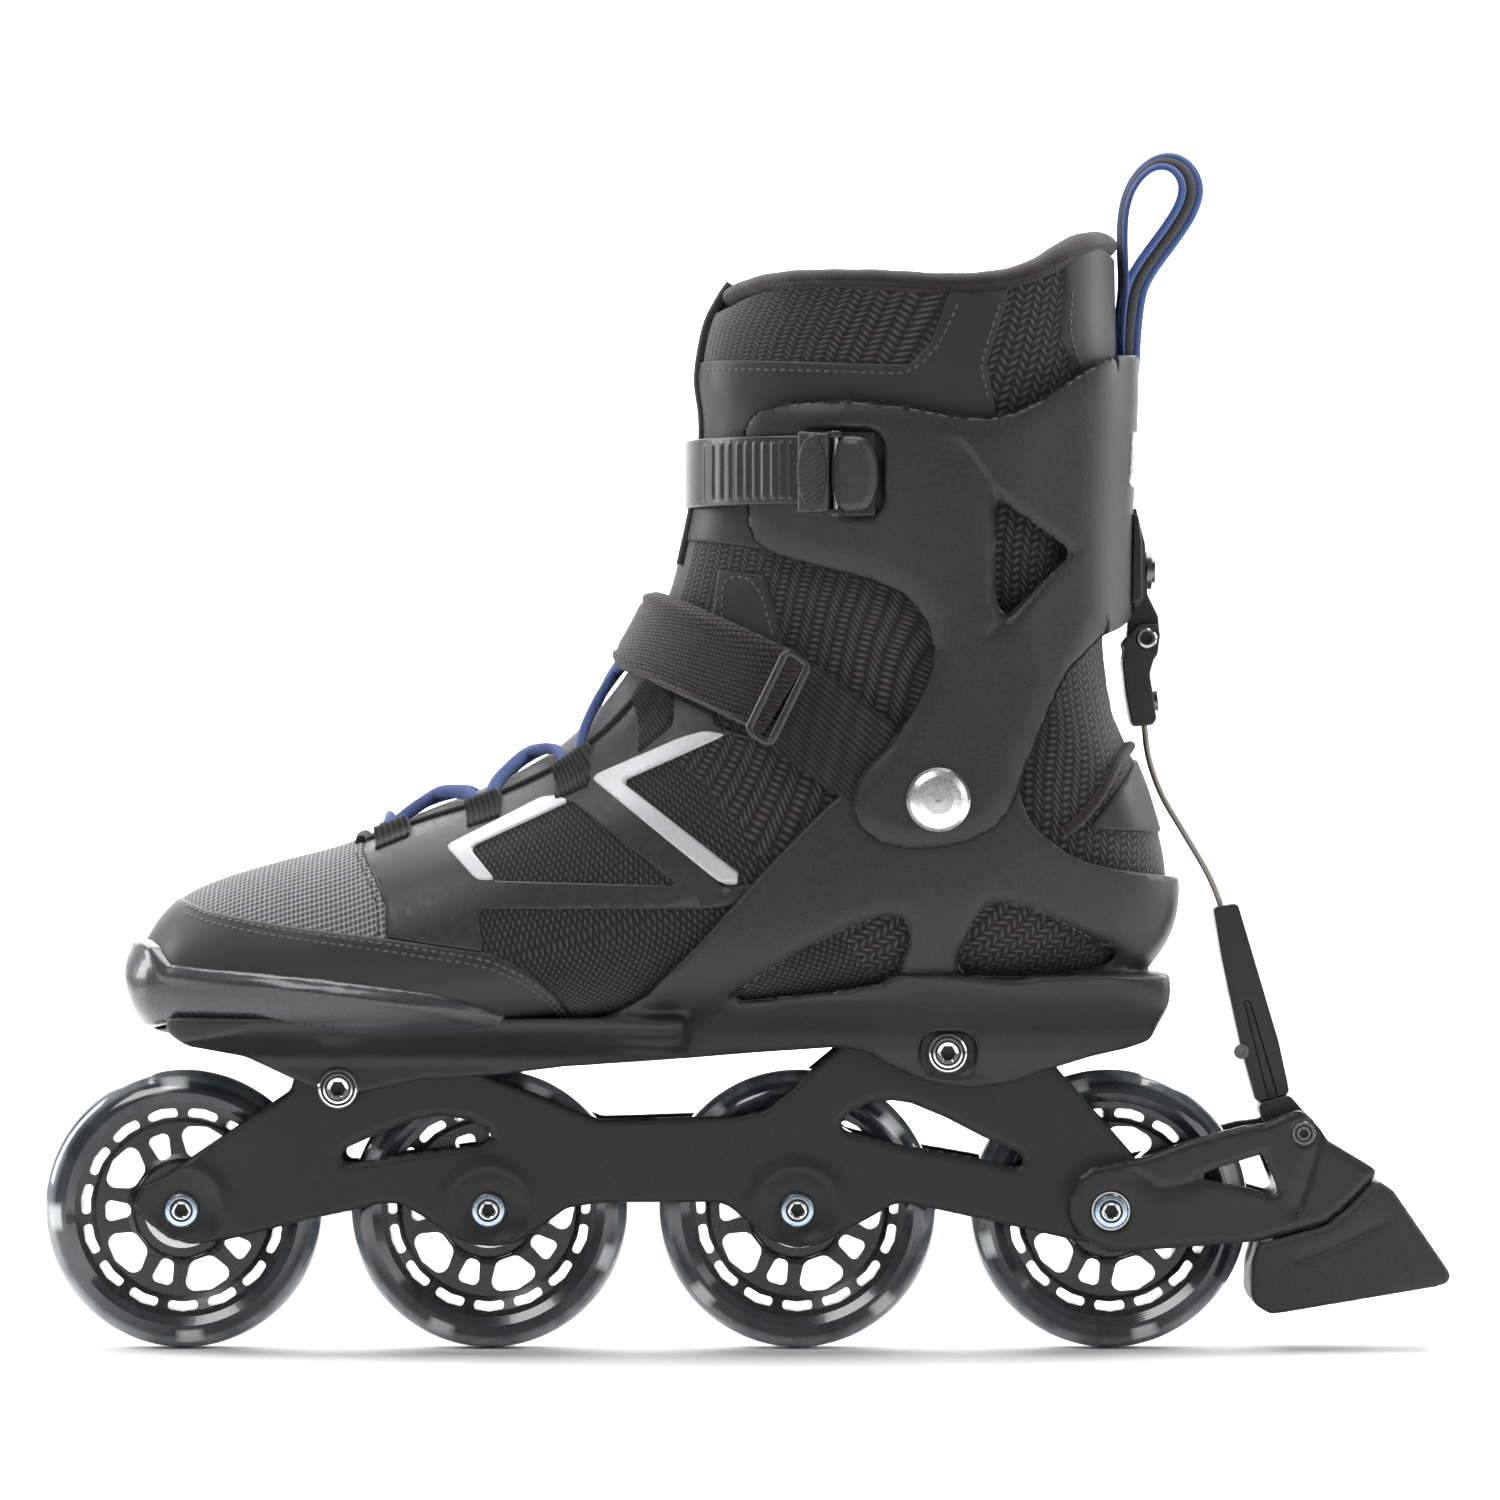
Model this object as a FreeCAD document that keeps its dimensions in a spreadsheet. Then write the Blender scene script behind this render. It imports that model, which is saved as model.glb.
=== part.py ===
"""Inline skate, left foot: soft boot in a plastic shell, hinged cuff with ladder buckle, four wheels in a
two-plate frame, and a heel brake that the cuff drives through a rod.

Own frame, millimetres: X runs from toe (-) to heel (+), Y across (-Y is the outer, buckle side), Z up.
The origin lies on the ground plane under the middle of the wheelbase, in the wheels' mid-plane."""
import FreeCAD, Part
import math
import os
from FreeCAD import Vector, Placement, Rotation

os.makedirs("parts", exist_ok=True)
doc = FreeCAD.newDocument("inline_skate")

# ---------------------------------------------------------------- driving dimensions
sheet = doc.addObject("Spreadsheet::Sheet", "dims")
DIMS = [
    ("wheel_dia", 80.0), ("wheel_width", 24.0), ("axle_height", 40.0),
    ("axle_one", -133.3), ("axle_two", -45.2), ("axle_three", 43.5), ("axle_four", 133.3),
    ("hub_rim_radius", 31.0), ("hub_boss_radius", 14.0), ("web_half", 8.0),
    ("bearing_outer_dia", 22.0), ("bearing_bore_dia", 8.0), ("bearing_width", 7.0), ("spacer_length", 10.36),
    ("ball_radius", 1.98), ("ball_pitch_radius", 7.5), ("ball_count", 7),
    ("big_window_count", 5), ("small_window_count", 5), ("slot_count", 15),
    ("plate_inner", 13.0), ("plate_thickness", 2.6), ("plate_boss_radius", 7.0), ("dish_radius", 10.7),
    ("dish_depth", 1.3), ("axle_hole_radius", 4.05), ("sleeve_radius", 3.97), ("axle_screw_radius", 2.5),
    ("axle_head_radius", 5.0), ("axle_head_height", 2.2), ("mount_hole_radius", 4.1), ("mount_sleeve_radius", 4.0),
    ("mount_head_radius", 5.8), ("mount_head_height", 2.0), ("mount_screw_radius", 3.0),
    ("lug_inner", 15.9), ("lug_outer", 20.0), ("bridge_half_width", 12.95),
    ("cuff_pivot_x", 83.3), ("cuff_pivot_z", 158.0), ("rivet_head_radius", 9.1), ("rivet_shank_radius", 4.6),
    ("bearing_face_half", 43.4), ("shell_gap", 0.35), ("shell_thickness", 3.45), ("cuff_gap", 4.2), ("cuff_thickness", 3.4),
    ("arm_inner", 16.0), ("arm_outer", 20.0), ("arm_bore_radius", 5.6), ("bush_radius", 5.5),
    ("link_low_x", 188.6), ("link_low_z", 62.2), ("link_top_x", 144.1), ("link_top_z", 204.2),
    ("rod_radius", 0.95), ("pad_half_width", 21.0), ("holder_half_width", 16.5),
    ("liner_wall", 6.0), ("insole_thickness", 4.0), ("buckle_height", 25.0), ("buckle_floor", 48.6), ("strap_height", 19.5),
    ("split_radius", 60.0), ("pull_loop_width", 12.0), ("pull_loop_thickness", 1.8),
]
D = {}
for row, (alias, number) in enumerate(DIMS, 1):
    sheet.set("A%d" % row, alias)
    sheet.set("B%d" % row, str(number))
    sheet.setAlias("B%d" % row, alias)
    D[alias] = number
doc.recompute()

AXLES = [D["axle_one"], D["axle_two"], D["axle_three"], D["axle_four"]]

# ---------------------------------------------------------------- side outlines, (X, Z) in mm
FRAME_OUTLINE = [
    (-147.7, 41.0), (-142.3, 35.8), (-137.1, 31.8), (-130.5, 30.1), (-119.9, 31.5), (-108.4, 34.4), (-95.8, 37.5),
    (-83.2, 40.1), (-75.4, 42.1), (-70.0, 41.6), (-64.5, 38.4), (-56.8, 33.0), (-50.2, 30.1), (-43.6, 29.5),
    (-37.0, 30.7), (-29.5, 35.5), (-22.9, 40.5), (-13.2, 42.1), (20.4, 42.3), (24.0, 41.0), (29.5, 36.4), (35.9, 31.3),
    (43.3, 29.0), (50.6, 30.4), (56.0, 33.6), (63.4, 37.3), (70.6, 41.4), (73.5, 42.1), (84.4, 40.0), (100.8, 36.4),
    (121.1, 31.8), (129.2, 30.1), (135.5, 29.8), (140.7, 32.7), (143.5, 37.8), (143.5, 43.3), (141.5, 48.7),
    (140.9, 54.8), (129.5, 68.0), (118.0, 80.9), (113.1, 92.4), (63.8, 92.4), (55.3, 86.9), (47.8, 80.7), (40.5, 73.8),
    (34.2, 68.8), (25.9, 67.1), (13.0, 66.8), (-13.2, 66.0), (-14.0, 66.4), (-31.5, 73.5), (-44.7, 78.4), (-53.3, 84.3),
    (-96.4, 84.3), (-101.2, 78.4), (-101.8, 74.6), (-120.8, 61.9), (-139.2, 49.3), (-144.7, 46.6), (-147.7, 42.1),
]
FRAME_WINDOW_FRONT = [
    (-87.6, 55.9), (-86.0, 57.8), (-75.5, 62.5), (-66.8, 65.8), (-59.1, 67.1), (-50.3, 65.8), (-45.3, 63.1),
    (-44.2, 60.8), (-46.4, 58.9), (-59.1, 57.3), (-70.0, 55.9), (-83.2, 53.7), (-86.5, 53.7),
]
FRAME_WINDOW_REAR = [
    (55.6, 65.1), (58.8, 68.4), (64.3, 70.7), (70.6, 71.5), (76.1, 70.7), (86.2, 66.5), (97.2, 60.8), (107.0, 56.5),
    (108.6, 54.3), (107.0, 52.1), (94.9, 55.1), (72.9, 58.9), (66.1, 60.6), (57.0, 62.9),
]
SHELL_EDGE = [
    (-145.9, 92.4), (-135.2, 92.7), (-103.4, 90.4), (-89.2, 90.2), (-56.9, 89.4), (-39.3, 90.2), (-20.9, 93.0),
    (-10.1, 96.8), (0.7, 102.7), (15.7, 117.4), (22.9, 125.7), (33.9, 137.9), (42.9, 147.5), (52.0, 156.5),
    (58.3, 161.9), (64.5, 167.3), (70.4, 172.7), (77.5, 176.1), (86.0, 176.7), (94.6, 173.8), (101.4, 168.2),
    (105.3, 163.0), (107.0, 158.2), (108.7, 153.7), (111.6, 149.2), (115.3, 146.6), (119.8, 142.9), (126.0, 140.1),
    (133.3, 138.4), (142.2, 137.0), (148.7, 136.1), (168.9, 133.8), (168.9, 58.7), (-145.9, 58.7),
]
KEEL_OUTLINE = [
    (-136.8, 97.6), (-136.8, 91.6), (-130.3, 87.3), (-114.8, 84.2), (-101.6, 78.0), (-93.9, 74.7), (-88.1, 73.3),
    (-81.3, 73.9), (-64.4, 77.6), (-44.6, 78.7), (-23.4, 81.3), (3.8, 83.1), (31.3, 85.4), (55.1, 87.0), (63.4, 85.4),
    (72.6, 80.4), (79.7, 77.3), (88.0, 75.7), (95.2, 75.3), (105.8, 77.0), (117.8, 81.3), (127.6, 84.3), (137.6, 86.6),
    (144.5, 89.0), (150.2, 100.5), (150.2, 112.0),
]
SHELL_WINDOW_1 = [
    (24.2, 101.1), (30.2, 105.7), (43.0, 113.9), (56.4, 120.7), (66.5, 124.4), (71.9, 124.7), (75.0, 122.1),
    (75.0, 117.6), (71.9, 109.4), (67.4, 105.7), (52.0, 103.1), (25.6, 100.6),
]
SHELL_WINDOW_2 = [
    (89.9, 109.4), (90.1, 113.9), (93.5, 123.0), (97.2, 127.8), (102.6, 128.4), (110.8, 126.6), (119.9, 122.1),
    (129.0, 116.6), (135.2, 113.3), (132.4, 111.6), (119.9, 108.9), (106.3, 107.7), (91.8, 108.2),
]
BUMPER_OUTLINE = [
    (-150.6, 112.0), (-140.0, 111.7), (-137.4, 109.7), (-126.2, 109.1), (-113.4, 108.1), (-96.2, 106.2), (-79.0, 103.9),
    (-61.8, 101.4), (-48.9, 97.9), (-40.3, 94.5), (-39.2, 92.5), (-44.6, 91.0), (-53.2, 89.0), (-70.4, 88.2),
    (-87.6, 88.2), (-113.4, 89.3), (-136.6, 92.5), (-150.6, 90.5),
]
CUFF_OUTLINE = [
    (27.9, 264.0), (31.6, 268.5), (40.5, 270.7), (57.0, 271.4), (73.6, 269.7), (88.6, 266.8), (97.4, 266.3),
    (105.0, 268.0), (113.8, 272.2), (124.0, 279.3), (132.8, 284.4), (142.2, 285.8), (143.9, 283.6), (143.3, 271.4),
    (142.8, 246.4), (142.8, 212.1), (136.0, 207.0), (130.4, 204.6), (126.6, 200.8), (120.4, 194.5), (115.3, 184.3),
    (111.4, 174.1), (107.0, 164.2), (106.5, 160.2), (104.2, 155.7), (99.9, 150.0), (92.6, 146.0), (83.5, 144.0),
    (74.4, 143.8), (66.5, 145.6), (60.8, 150.0), (58.8, 155.4), (59.4, 161.6), (63.4, 167.9), (69.6, 174.1),
    (75.8, 183.2), (80.4, 192.0), (81.8, 200.8), (79.8, 208.4), (73.6, 216.1), (63.4, 220.3), (50.6, 223.5),
    (36.7, 227.4), (31.0, 231.1), (29.0, 236.2),
]
CUFF_WINDOW = [
    (100.1, 243.5), (121.7, 228.5), (102.3, 209.5), (99.6, 214.6), (99.6, 240.1),
]
BRACKET_OUTLINE = [
    (139.9, 242.1), (141.3, 241.8), (143.9, 231.4), (144.5, 217.0), (147.6, 210.7), (148.2, 204.1), (145.9, 200.9),
    (141.6, 200.9), (138.4, 203.8), (139.6, 214.4),
]
YOKE_OUTLINE = [
    (139.0, 205.5), (141.5, 208.1), (147.3, 208.4), (148.0, 205.5), (147.3, 199.7), (146.1, 197.9), (145.0, 194.0),
    (145.6, 190.3), (146.5, 184.1), (147.0, 181.2), (145.9, 179.3), (140.6, 178.8), (139.6, 179.8), (138.0, 188.4),
    (137.0, 197.4), (137.7, 200.8), (136.9, 202.6),
]
SLEEVE_OUTLINE = [
    (163.3, 126.9), (170.5, 128.0), (174.5, 114.5), (178.6, 100.7), (182.3, 88.3), (184.8, 76.8), (185.5, 73.0),
    (175.7, 70.4), (171.6, 85.1), (168.2, 100.7), (165.6, 113.1),
]
CLEVIS_OUTLINE = [
    (175.5, 70.3), (185.3, 72.8), (189.0, 68.5), (192.5, 65.1), (192.8, 61.0), (190.5, 58.2), (187.0, 57.7),
    (183.8, 59.3), (179.0, 63.4),
]
ARM_OUTLINE = [
    (127.6, 52.7), (143.1, 55.5), (156.2, 60.4), (171.4, 64.4), (177.1, 65.0), (182.6, 67.6), (186.9, 68.7),
    (189.2, 68.1), (193.5, 63.3), (195.5, 60.1), (209.4, 51.8), (208.8, 49.5), (201.8, 42.3), (195.1, 36.6),
    (174.9, 31.2), (149.6, 29.2), (133.0, 28.0), (125.6, 31.7), (121.6, 37.5), (121.3, 44.4), (123.9, 49.8),
]
ARM_WINDOW = [
    (157.4, 49.5), (164.0, 52.4), (170.6, 54.4), (177.1, 56.4), (181.4, 45.8), (179.7, 44.6), (172.0, 46.8),
]
PAD_OUTLINE = [
    (209.3, 49.3), (214.3, 45.8), (230.6, 22.1), (230.1, 19.5), (226.3, 18.3), (182.5, 10.9), (179.1, 10.4),
    (174.8, 12.9), (173.4, 16.1), (173.7, 24.9), (175.4, 30.4), (195.1, 35.8), (201.7, 41.5),
]
COLLAR_TOP = [
    (15.5, 302.1), (20.9, 303.0), (28.4, 306.4), (35.7, 308.7), (58.8, 309.0), (73.2, 308.1), (87.7, 307.3),
    (102.1, 308.1), (113.6, 312.8), (123.8, 320.0), (131.0, 321.4), (134.4, 318.5), (139.6, 317.7),
]
STRAP_PAD = [
    (-13.1, 226.6), (0.8, 219.7), (43.9, 198.5), (30.8, 176.7), (-10.9, 197.6), (-24.5, 203.6),
]
LOOP_PATH = [
    (136.5, 289.1), (136.7, 296.9), (137.9, 306.4), (137.3, 316.5), (137.5, 326.6), (139.3, 333.9), (143.1, 339.3),
    (147.7, 342.2), (152.6, 341.9), (156.4, 338.5), (157.5, 333.3), (155.5, 327.5), (151.8, 321.7), (147.4, 315.9),
    (143.1, 309.9), (140.8, 304.7), (139.6, 296.9), (139.1, 289.1),
]
LACE_LOOPS = [
    (-71.4, 151.3), (-45.4, 162.1), (-20.6, 175.8), (4.8, 187.8),
]
BOLTS = [
    (-88.1, 75.1), (86.6, 85.3),
]


# Stations of the last: front/top point, sole/back point, half-width, place of the widest point, roundness in
# front of it and behind it, and the sideways lean of the section's middle.
STATIONS = [
    (-146.4, 111.0, -146.6, 105.0, 8.0, .50, 2.0, 2.0, 6.0),
    (-145.6, 113.6, -145.6, 100.5, 15.0, .55, 2.0, 2.2, 6.0),
    (-143.4, 117.6, -143.4, 96.8, 22.0, .60, 2.0, 2.5, 6.0),
    (-139.5, 123.6, -139.5, 94.6, 28.5, .62, 2.0, 2.8, 5.6),
    (-133.0, 129.6, -133.0, 93.6, 34.5, .64, 2.05, 3.1, 5.0),
    (-122.0, 134.6, -121.0, 92.9, 40.0, .66, 2.1, 3.3, 4.2),
    (-106.0, 139.4, -104.0, 92.3, 45.0, .68, 2.15, 3.5, 3.0),
    (-86.0, 144.8, -82.0, 92.0, 48.2, .70, 2.2, 3.5, 1.8),
    (-64.0, 153.6, -58.0, 92.4, 49.4, .70, 2.2, 3.5, 0.8),
    (-43.0, 162.0, -34.0, 93.2, 47.8, .69, 2.2, 3.4, 0.0),
    (-26.0, 171.5, -8.0, 94.6, 44.5, .66, 2.2, 3.3, 0.0),
    (-13.0, 183.5, 22.0, 96.6, 41.5, .62, 2.2, 3.2, 0.0),
    (-3.5, 196.0, 58.0, 98.6, 39.8, .58, 2.3, 3.2, 0.0),
    (3.5, 208.0, 98.0, 100.2, 39.2, .55, 2.4, 3.0, 0.0),
    (8.0, 219.0, 132.0, 104.8, 39.2, .54, 2.5, 2.8, 0.0),
    (10.8, 230.5, 147.6, 120.0, 39.4, .53, 2.5, 2.6, 0.0),
    (13.2, 241.5, 149.6, 138.0, 40.0, .52, 2.5, 2.4, 0.0),
    (15.2, 251.0, 144.8, 158.0, 40.8, .52, 2.5, 2.4, 0.0),
    (16.2, 260.0, 138.0, 176.0, 41.8, .52, 2.5, 2.4, 0.0),
    (16.2, 269.0, 133.3, 195.0, 42.8, .52, 2.5, 2.4, 0.0),
    (15.0, 278.5, 132.6, 216.0, 43.8, .52, 2.5, 2.4, 0.0),
    (16.0, 287.5, 133.0, 240.0, 44.6, .52, 2.5, 2.4, 0.0),
    (18.0, 295.5, 134.0, 263.0, 45.0, .521, 2.49, 2.4, 0.0),
    (21.5, 302.0, 134.6, 286.0, 44.8, .523, 2.48, 2.42, 0.0),
    (26.0, 310.0, 134.3, 306.0, 44.5, .52, 2.5, 2.4, 0.0),
    (30.0, 330.0, 134.0, 330.0, 44.0, .52, 2.5, 2.4, 0.0),
]
RING = 28


def normal(points, i):
    """Unit normal of a side-view polyline at point i."""
    a = points[max(0, i - 1)]
    b = points[min(len(points) - 1, i + 1)]
    tx, tz = b[0] - a[0], b[1] - a[1]
    n = math.hypot(tx, tz)
    return (-tz / n, tx / n)


def station(i, d):
    """Front and back points and half-width of station i, grown outwards by d."""
    fs = [(q[0], q[1]) for q in STATIONS]
    bs = [(q[2], q[3]) for q in STATIONS]
    nf, nb = normal(fs, i), normal(bs, i)
    fx, fz, bx, bz, w, p, ef, eb, yc = STATIONS[i]
    return (fx + nf[0] * d, fz + nf[1] * d, bx - nb[0] * d, bz - nb[1] * d, max(w + d, 1.0), p, ef, eb, yc)


def ring_points(st):
    """Closed section of the last: two superellipse halves that meet at the widest point."""
    fx, fz, bx, bz, w, p, ef, eb, yc = st
    out = []
    for k in range(RING):
        a = 2 * math.pi * k / RING
        c, s = math.cos(a), math.sin(a)
        if c >= 0:
            t = p - p * abs(c) ** (2 / ef)
            y = w * abs(s) ** (2 / ef)
        else:
            t = p + (1 - p) * abs(c) ** (2 / eb)
            y = w * abs(s) ** (2 / eb)
        y = -y if s > 0 else y
        out.append(Vector(fx + (bx - fx) * t, y + yc, fz + (bz - fz) * t))
    return out


def last_solid(d, first=0, final=None):
    """The foot-and-leg form grown by d, lofted through its stations."""
    final = len(STATIONS) - 1 if final is None else final
    if d < -1.0:
        first = max(first, 3)          # a shrunken form starts behind the toe's tip
    params = [k / float(RING) for k in range(RING + 1)]
    for nudge in (0.0, 0.02, -0.02, 0.05, -0.05, 0.09, -0.09):
        wires = []
        for i in range(first, final + 1):
            curve = Part.BSplineCurve()
            curve.interpolate(Points=ring_points(station(i, d + nudge)), PeriodicFlag=True, Parameters=params)
            wires.append(Part.Wire([curve.toShape()]))
        try:
            solid = Part.makeLoft(wires, True, False)
        except Exception:
            continue
        if solid.isValid() and solid.Volume > 0:
            if nudge:
                print("form", d, "lofted at", d + nudge)
            return solid
    raise SystemExit("the form could not be lofted at %s" % d)


# ---------------------------------------------------------------- shape helpers
def rounded(points, r):
    """Lines and tangent arcs of a closed outline whose corners are rounded by up to r; list of 2-D geometry."""
    n = len(points)
    cut = []
    for i in range(n):
        p0, p1, p2 = points[i - 1], points[i], points[(i + 1) % n]
        a = (p0[0] - p1[0], p0[1] - p1[1])
        b = (p2[0] - p1[0], p2[1] - p1[1])
        la, lb = math.hypot(*a), math.hypot(*b)
        a, b = (a[0] / la, a[1] / la), (b[0] / lb, b[1] / lb)
        cosang = max(-1.0, min(1.0, a[0] * b[0] + a[1] * b[1]))
        half = math.acos(cosang) / 2
        if math.pi - 2 * half < math.radians(1.0):
            cut.append((p1, None, p1))
            continue
        t = min(r / math.tan(half), 0.45 * la, 0.45 * lb)
        rr = t * math.tan(half)
        q1 = (p1[0] + a[0] * t, p1[1] + a[1] * t)
        q2 = (p1[0] + b[0] * t, p1[1] + b[1] * t)
        bis = (a[0] + b[0], a[1] + b[1])
        lbis = math.hypot(*bis)
        far = rr / math.sin(half)
        mid = (p1[0] + bis[0] / lbis * (far - rr), p1[1] + bis[1] / lbis * (far - rr))
        cut.append((q1, mid, q2))
    geo = []
    for i in range(n):
        q1, mid, q2 = cut[i]
        nxt = cut[(i + 1) % n][0]
        if mid is not None:
            geo.append(Part.Arc(Vector(q1[0], q1[1], 0), Vector(mid[0], mid[1], 0), Vector(q2[0], q2[1], 0)))
        if math.hypot(nxt[0] - q2[0], nxt[1] - q2[1]) > 1e-5:
            geo.append(Part.LineSegment(Vector(q2[0], q2[1], 0), Vector(nxt[0], nxt[1], 0)))
    return geo


def to_xz(shape, y=0.0):
    """Turn a flat shape drawn in XY into the XZ plane at the given Y (drawing x -> X, drawing y -> Z)."""
    shape.Placement = Placement(Vector(0, y, 0), Rotation(Vector(1, 0, 0), 90))
    return shape


def outline_prism(points, r, y0, y1, holes=()):
    """Prism across Y between y0 and y1 of a rounded side outline, with optional rounded windows."""
    wires = [Part.Wire(Part.__sortEdges__([g.toShape() for g in rounded(points, r)]))]
    for hole, hr in holes:
        wires.append(Part.Wire(Part.__sortEdges__([g.toShape() for g in rounded(hole, hr)])))
    face = Part.Face(wires[0])
    for w in wires[1:]:
        face = face.cut(Part.Face(w))
    face = to_xz(face, y1)
    return face.extrude(Vector(0, y0 - y1, 0))


def ycyl(r, x, z, y0, y1):
    return Part.makeCylinder(r, y1 - y0, Vector(x, y0, z), Vector(0, 1, 0))


def feature(label, shape):
    """A sub-part whose shape comes from Part's functions."""
    ob = doc.addObject("Part::Feature", label)
    ob.Label = label
    ob.Shape = shape
    ob.Placement = Placement()
    return ob


PARTS = {}


def keep(label, ob):
    ob.Label = label
    PARTS[label] = ob
    return ob


def new_body(label):
    body = doc.addObject("PartDesign::Body", label + "_body")
    body.Label = label
    return body


def plane(body, role):
    return [f for f in body.Origin.OriginFeatures if f.Role == role][0]


def new_sketch(body, name, role, loops, offset=0.0):
    """Sketch on one of the body's own planes, holding closed loops of geometry."""
    sk = body.newObject("Sketcher::SketchObject", name)
    sk.AttachmentSupport = [(plane(body, role), "")]
    sk.MapMode = "FlatFace"
    if offset:
        sk.AttachmentOffset = Placement(Vector(0, 0, offset), Rotation())
    for loop in loops:
        for g in loop:
            sk.addGeometry(g, False)
    return sk


def polyline(points):
    n = len(points)
    return [Part.LineSegment(Vector(points[i][0], points[i][1], 0), Vector(points[(i + 1) % n][0], points[(i + 1) % n][1], 0))
            for i in range(n)]


def circle(x, y, r):
    return [Part.Circle(Vector(x, y, 0), Vector(0, 0, 1), r)]


def pad(body, sk, length, midplane=False, reverse=False, name="Pad"):
    p = body.newObject("PartDesign::Pad", name)
    p.Profile = sk
    if isinstance(length, str):
        p.setExpression("Length", length)
    else:
        p.Length = length
    if midplane:
        p.Midplane = True
    p.Reversed = reverse
    sk.Visibility = False
    return p


def revolve(body, sk, axis="V_Axis", name="Revolution"):
    p = body.newObject("PartDesign::Revolution", name)
    p.Profile = sk
    p.ReferenceAxis = (sk, [axis])
    p.Angle = 360
    return p


def plate_body(label, points, r, y0, thickness, holes=(), circles=()):
    """PartDesign plate across Y: its outline and windows in one sketch on the XZ plane, padded from |y0|.
    thickness is an expression or a number; the pad runs towards -Y from y0."""
    body = new_body(label)
    loops = [rounded(points, r)] + [rounded(h, hr) for h, hr in holes] + [circle(*c) for c in circles]
    sk = new_sketch(body, label + "_sketch", "XZ_Plane", loops, offset=-y0)
    p = pad(body, sk, thickness, name=label + "_pad")
    doc.recompute()
    return body


def prim(kind, name, at, expressions, rot=None):
    """A Part primitive bound to the sheet; rot is a Rotation."""
    ob = doc.addObject("Part::" + kind, name)
    for prop, ex in expressions.items():
        ob.setExpression(prop, ex)
    ob.Placement = Placement(Vector(*at), rot if rot is not None else Rotation())
    return ob


ACROSS = Rotation(Vector(1, 0, 0), -90)  # turns a primitive's own Z into +Y


def boolean(kind, name, base, tools):
    ob = doc.addObject("Part::" + kind, name)
    if kind in ("Cut", "Common"):
        ob.Base, ob.Tool = base, tools
    else:
        ob.Shapes = [base] + list(tools)
    return ob


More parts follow.
